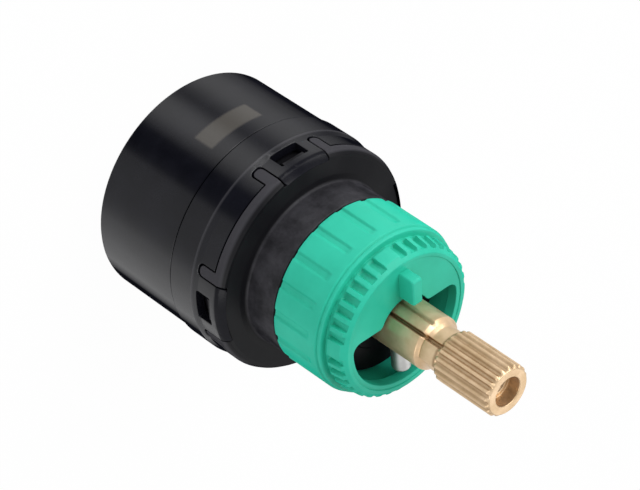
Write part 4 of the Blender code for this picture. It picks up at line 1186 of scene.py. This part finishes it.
brass = machined_material(
    "brass", (0.54, 0.38, 0.22), (0.68, 0.50, 0.32), (0.34, 0.46), 3200.0, 120.0, 0.20, 0.80
)
spindle = turned(
    "spindle_turning",
    fine(rounded([(0.0, 69.1), (THREAD_RADIUS, 70.3), (THREAD_RADIUS, THREAD_LOW)], closed=False), 0.5)[:-1]
    + fine([(THREAD_RADIUS, THREAD_LOW), (THREAD_RADIUS, SINK_FLOOR - 0.15)], 0.1)[:-1]
    + fine(
        rounded(
            [
                (THREAD_RADIUS, SINK_FLOOR - 0.15),
                (THREAD_RADIUS + 0.2, SINK_FLOOR),
                (SINK_RADIUS, SINK_FLOOR, 0.1),
                (SINK_RADIUS, HEAD_TOP, 0.2),
                (4.45, HEAD_TOP, 0.25),
                (HEAD_RADIUS, HEAD_TOP - 0.6, 0.4),
                (HEAD_RADIUS, HEAD_LOW + 0.5, 0.3),
                (4.5, HEAD_LOW, 0.1),
                (WAIST_RADIUS, HEAD_LOW, 0.1),
                (WAIST_RADIUS, 66.8, 0.8),
                (4.5, 66.05, 0.3),
                (STEM_RADIUS, 65.4, 0.3),
                (STEM_RADIUS, 47.7),
                (SHAFT_RADIUS, 47.7, 0.2),
                (SHAFT_RADIUS, 44.15, 0.1),
                (SHAFT_FLOOR, 44.15, 0.1),
                (SHAFT_FLOOR, 42.45, 0.1),
                (SHAFT_RADIUS, 42.45, 0.1),
                (SHAFT_RADIUS, 40.55, 0.1),
                (SHAFT_FLOOR, 40.55, 0.1),
                (SHAFT_FLOOR, 38.85, 0.1),
                (SHAFT_RADIUS, 38.85, 0.1),
                (SHAFT_RADIUS, 35.2),
                (10.5, 35.2, 0.2),
                (10.5, 33.0, 0.2),
                (0.0, 33.0),
            ],
            closed=False,
        ),
        0.45,
    ),
    360,
    closed=False,
)
# The head's teeth, the stem's deep groove and its shallow one, the waist's pad, and the groove beside it.
relief(spindle, brass, 20, 107.0, 4.6, 6.4, 4.52, (4.35, 5.3), (HEAD_LOW - 0.5, HEAD_TOP + 0.5), 0.1)
relief(spindle, brass, 1, 127.0, 3.4, 5.0, 4.35, (4.3, 5.4), (52.5, 66.6), 0.1)
relief(spindle, brass, 1, 96.0, 4.0, 5.0, 4.85, (4.8, 5.4), (52.5, 67.5), 0.1)
relief(spindle, brass, 1, 155.0, 23.5, 2.0, 4.72, (4.0, 4.75), (66.0, 69.8), 0.3)
relief(spindle, brass, 1, 126.5, 4.6, 4.0, 3.70, (3.65, 4.70), (65.9, 69.9), 0.3)
for vert in spindle.data.vertices:
    radius = math.hypot(vert.co.x, vert.co.y) / MM
    height = vert.co.z / MM
    if abs(radius - THREAD_RADIUS) < 0.02 and THREAD_LOW + 0.05 < height < SINK_FLOOR - 0.2:
        turns = height / THREAD_PITCH - math.atan2(vert.co.y, vert.co.x) / (2 * math.pi)
        groove = 1.0 - abs(2.0 * (turns - math.floor(turns)) - 1.0)
        grow = 1.0 + THREAD_DEPTH * groove / radius
        vert.co.x *= grow
        vert.co.y *= grow
tang = plate("tang", [[(-4.8, -3.2), (4.8, -3.2), (4.8, 3.2), (-4.8, 3.2)]], 28.0, 34.0, 0.3)
combined(spindle, [tang], "UNION")
# Painted shade: each point is darkened by how far it lies below the turned shape, most in the stem's grooves
# and waist, with a dark line at the head's foot.
painted_shade_marks = spindle.data.attributes.new("painted_hollow_shade", "FLOAT", "POINT")
for vert, mark in zip(spindle.data.vertices, painted_shade_marks.data):
    radius = math.hypot(vert.co.x, vert.co.y) / MM
    height = vert.co.z / MM
    if 52.0 < height < HEAD_TOP - 0.02 and radius > 3.4:
        most = 0.45 if height > HEAD_LOW else 1.0
        mark.value = min(most, max(0.0, (radius_at(TURNED_SHAPE, height) - radius - 0.08) / 0.45))
        if HEAD_LOW - 0.3 < height < HEAD_LOW + 0.2:
            mark.value = max(mark.value, 0.8)
crisp(spindle, 50.0)
dress(spindle, brass, "spindle", "spindle")

# Stop pin
# Ground steel dowel pressed crosswise into the stem. It swings between the limit ring's stop edges.

PIN_RADIUS = 1.8
PIN_HEIGHT = RING_PLATE_LOW + 0.4

steel = machined_material(
    "ground_steel", (0.42, 0.42, 0.41), (0.50, 0.50, 0.49), (0.40, 0.50), 900.0, 900.0, 0.15
)
stop_pin = turned(
    "stop_pin_dowel",
    rounded([(0.0, 11.3), (PIN_RADIUS, 11.3, 0.7), (PIN_RADIUS, 2.4, 0.4), (0.0, 2.4)], 8, closed=False),
    96,
    closed=False,
)
stop_pin.data.transform(
    Matrix.Translation((0.0, 0.0, PIN_HEIGHT * MM)) @ Matrix.Rotation(math.radians(90), 4, "X")
)
crisp(stop_pin)
dress(stop_pin, steel, "spindle", "stop_pin")

# Port seals
# Black rubber rings in the grooves of the rear face and of the disc seat, one round each port.

rubber = moulded_material("seal_rubber", (0.012, 0.012, 0.013), (0.022, 0.022, 0.022), (0.55, 0.70), 0.25)
port_names = ("inlet", "left_outlet", "right_outlet")
for prefix, low, high in (("rear", 0.3, 1.3), ("seat", 16.8, 17.8)):
    for name, outer, inner in zip(port_names, ports(2.1), ports(1.0)):
        seal = plate(f"{prefix}_{name}_seal_ring", [outer, inner], low, high, 0.3)
        crisp(seal)
        dress(seal, rubber, "housing", f"{prefix}_{name}_seal")

# Inside pieces
# Ceramic discs, their driver, the thrust washer and the O-rings. They keep their CAD shapes and get
# the finish of lapped ceramic, white acetal or rubber.

ceramic = moulded_material("lapped_ceramic", (0.74, 0.72, 0.67), (0.82, 0.80, 0.76), (0.16, 0.24), 0.05)
white_acetal = moulded_material("white_acetal", (0.68, 0.68, 0.65), (0.76, 0.76, 0.73), (0.36, 0.44), 0.10)
for finish, names in (
    (ceramic, ("fixed_disc", "moving_disc")),
    (white_acetal, ("disc_driver", "thrust_washer")),
    (rubber, ("rear_body_oring", "front_housing_oring", "lower_spindle_oring", "upper_spindle_oring")),
):
    for name in names:
        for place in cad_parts[name].material_slots:
            place.material = finish
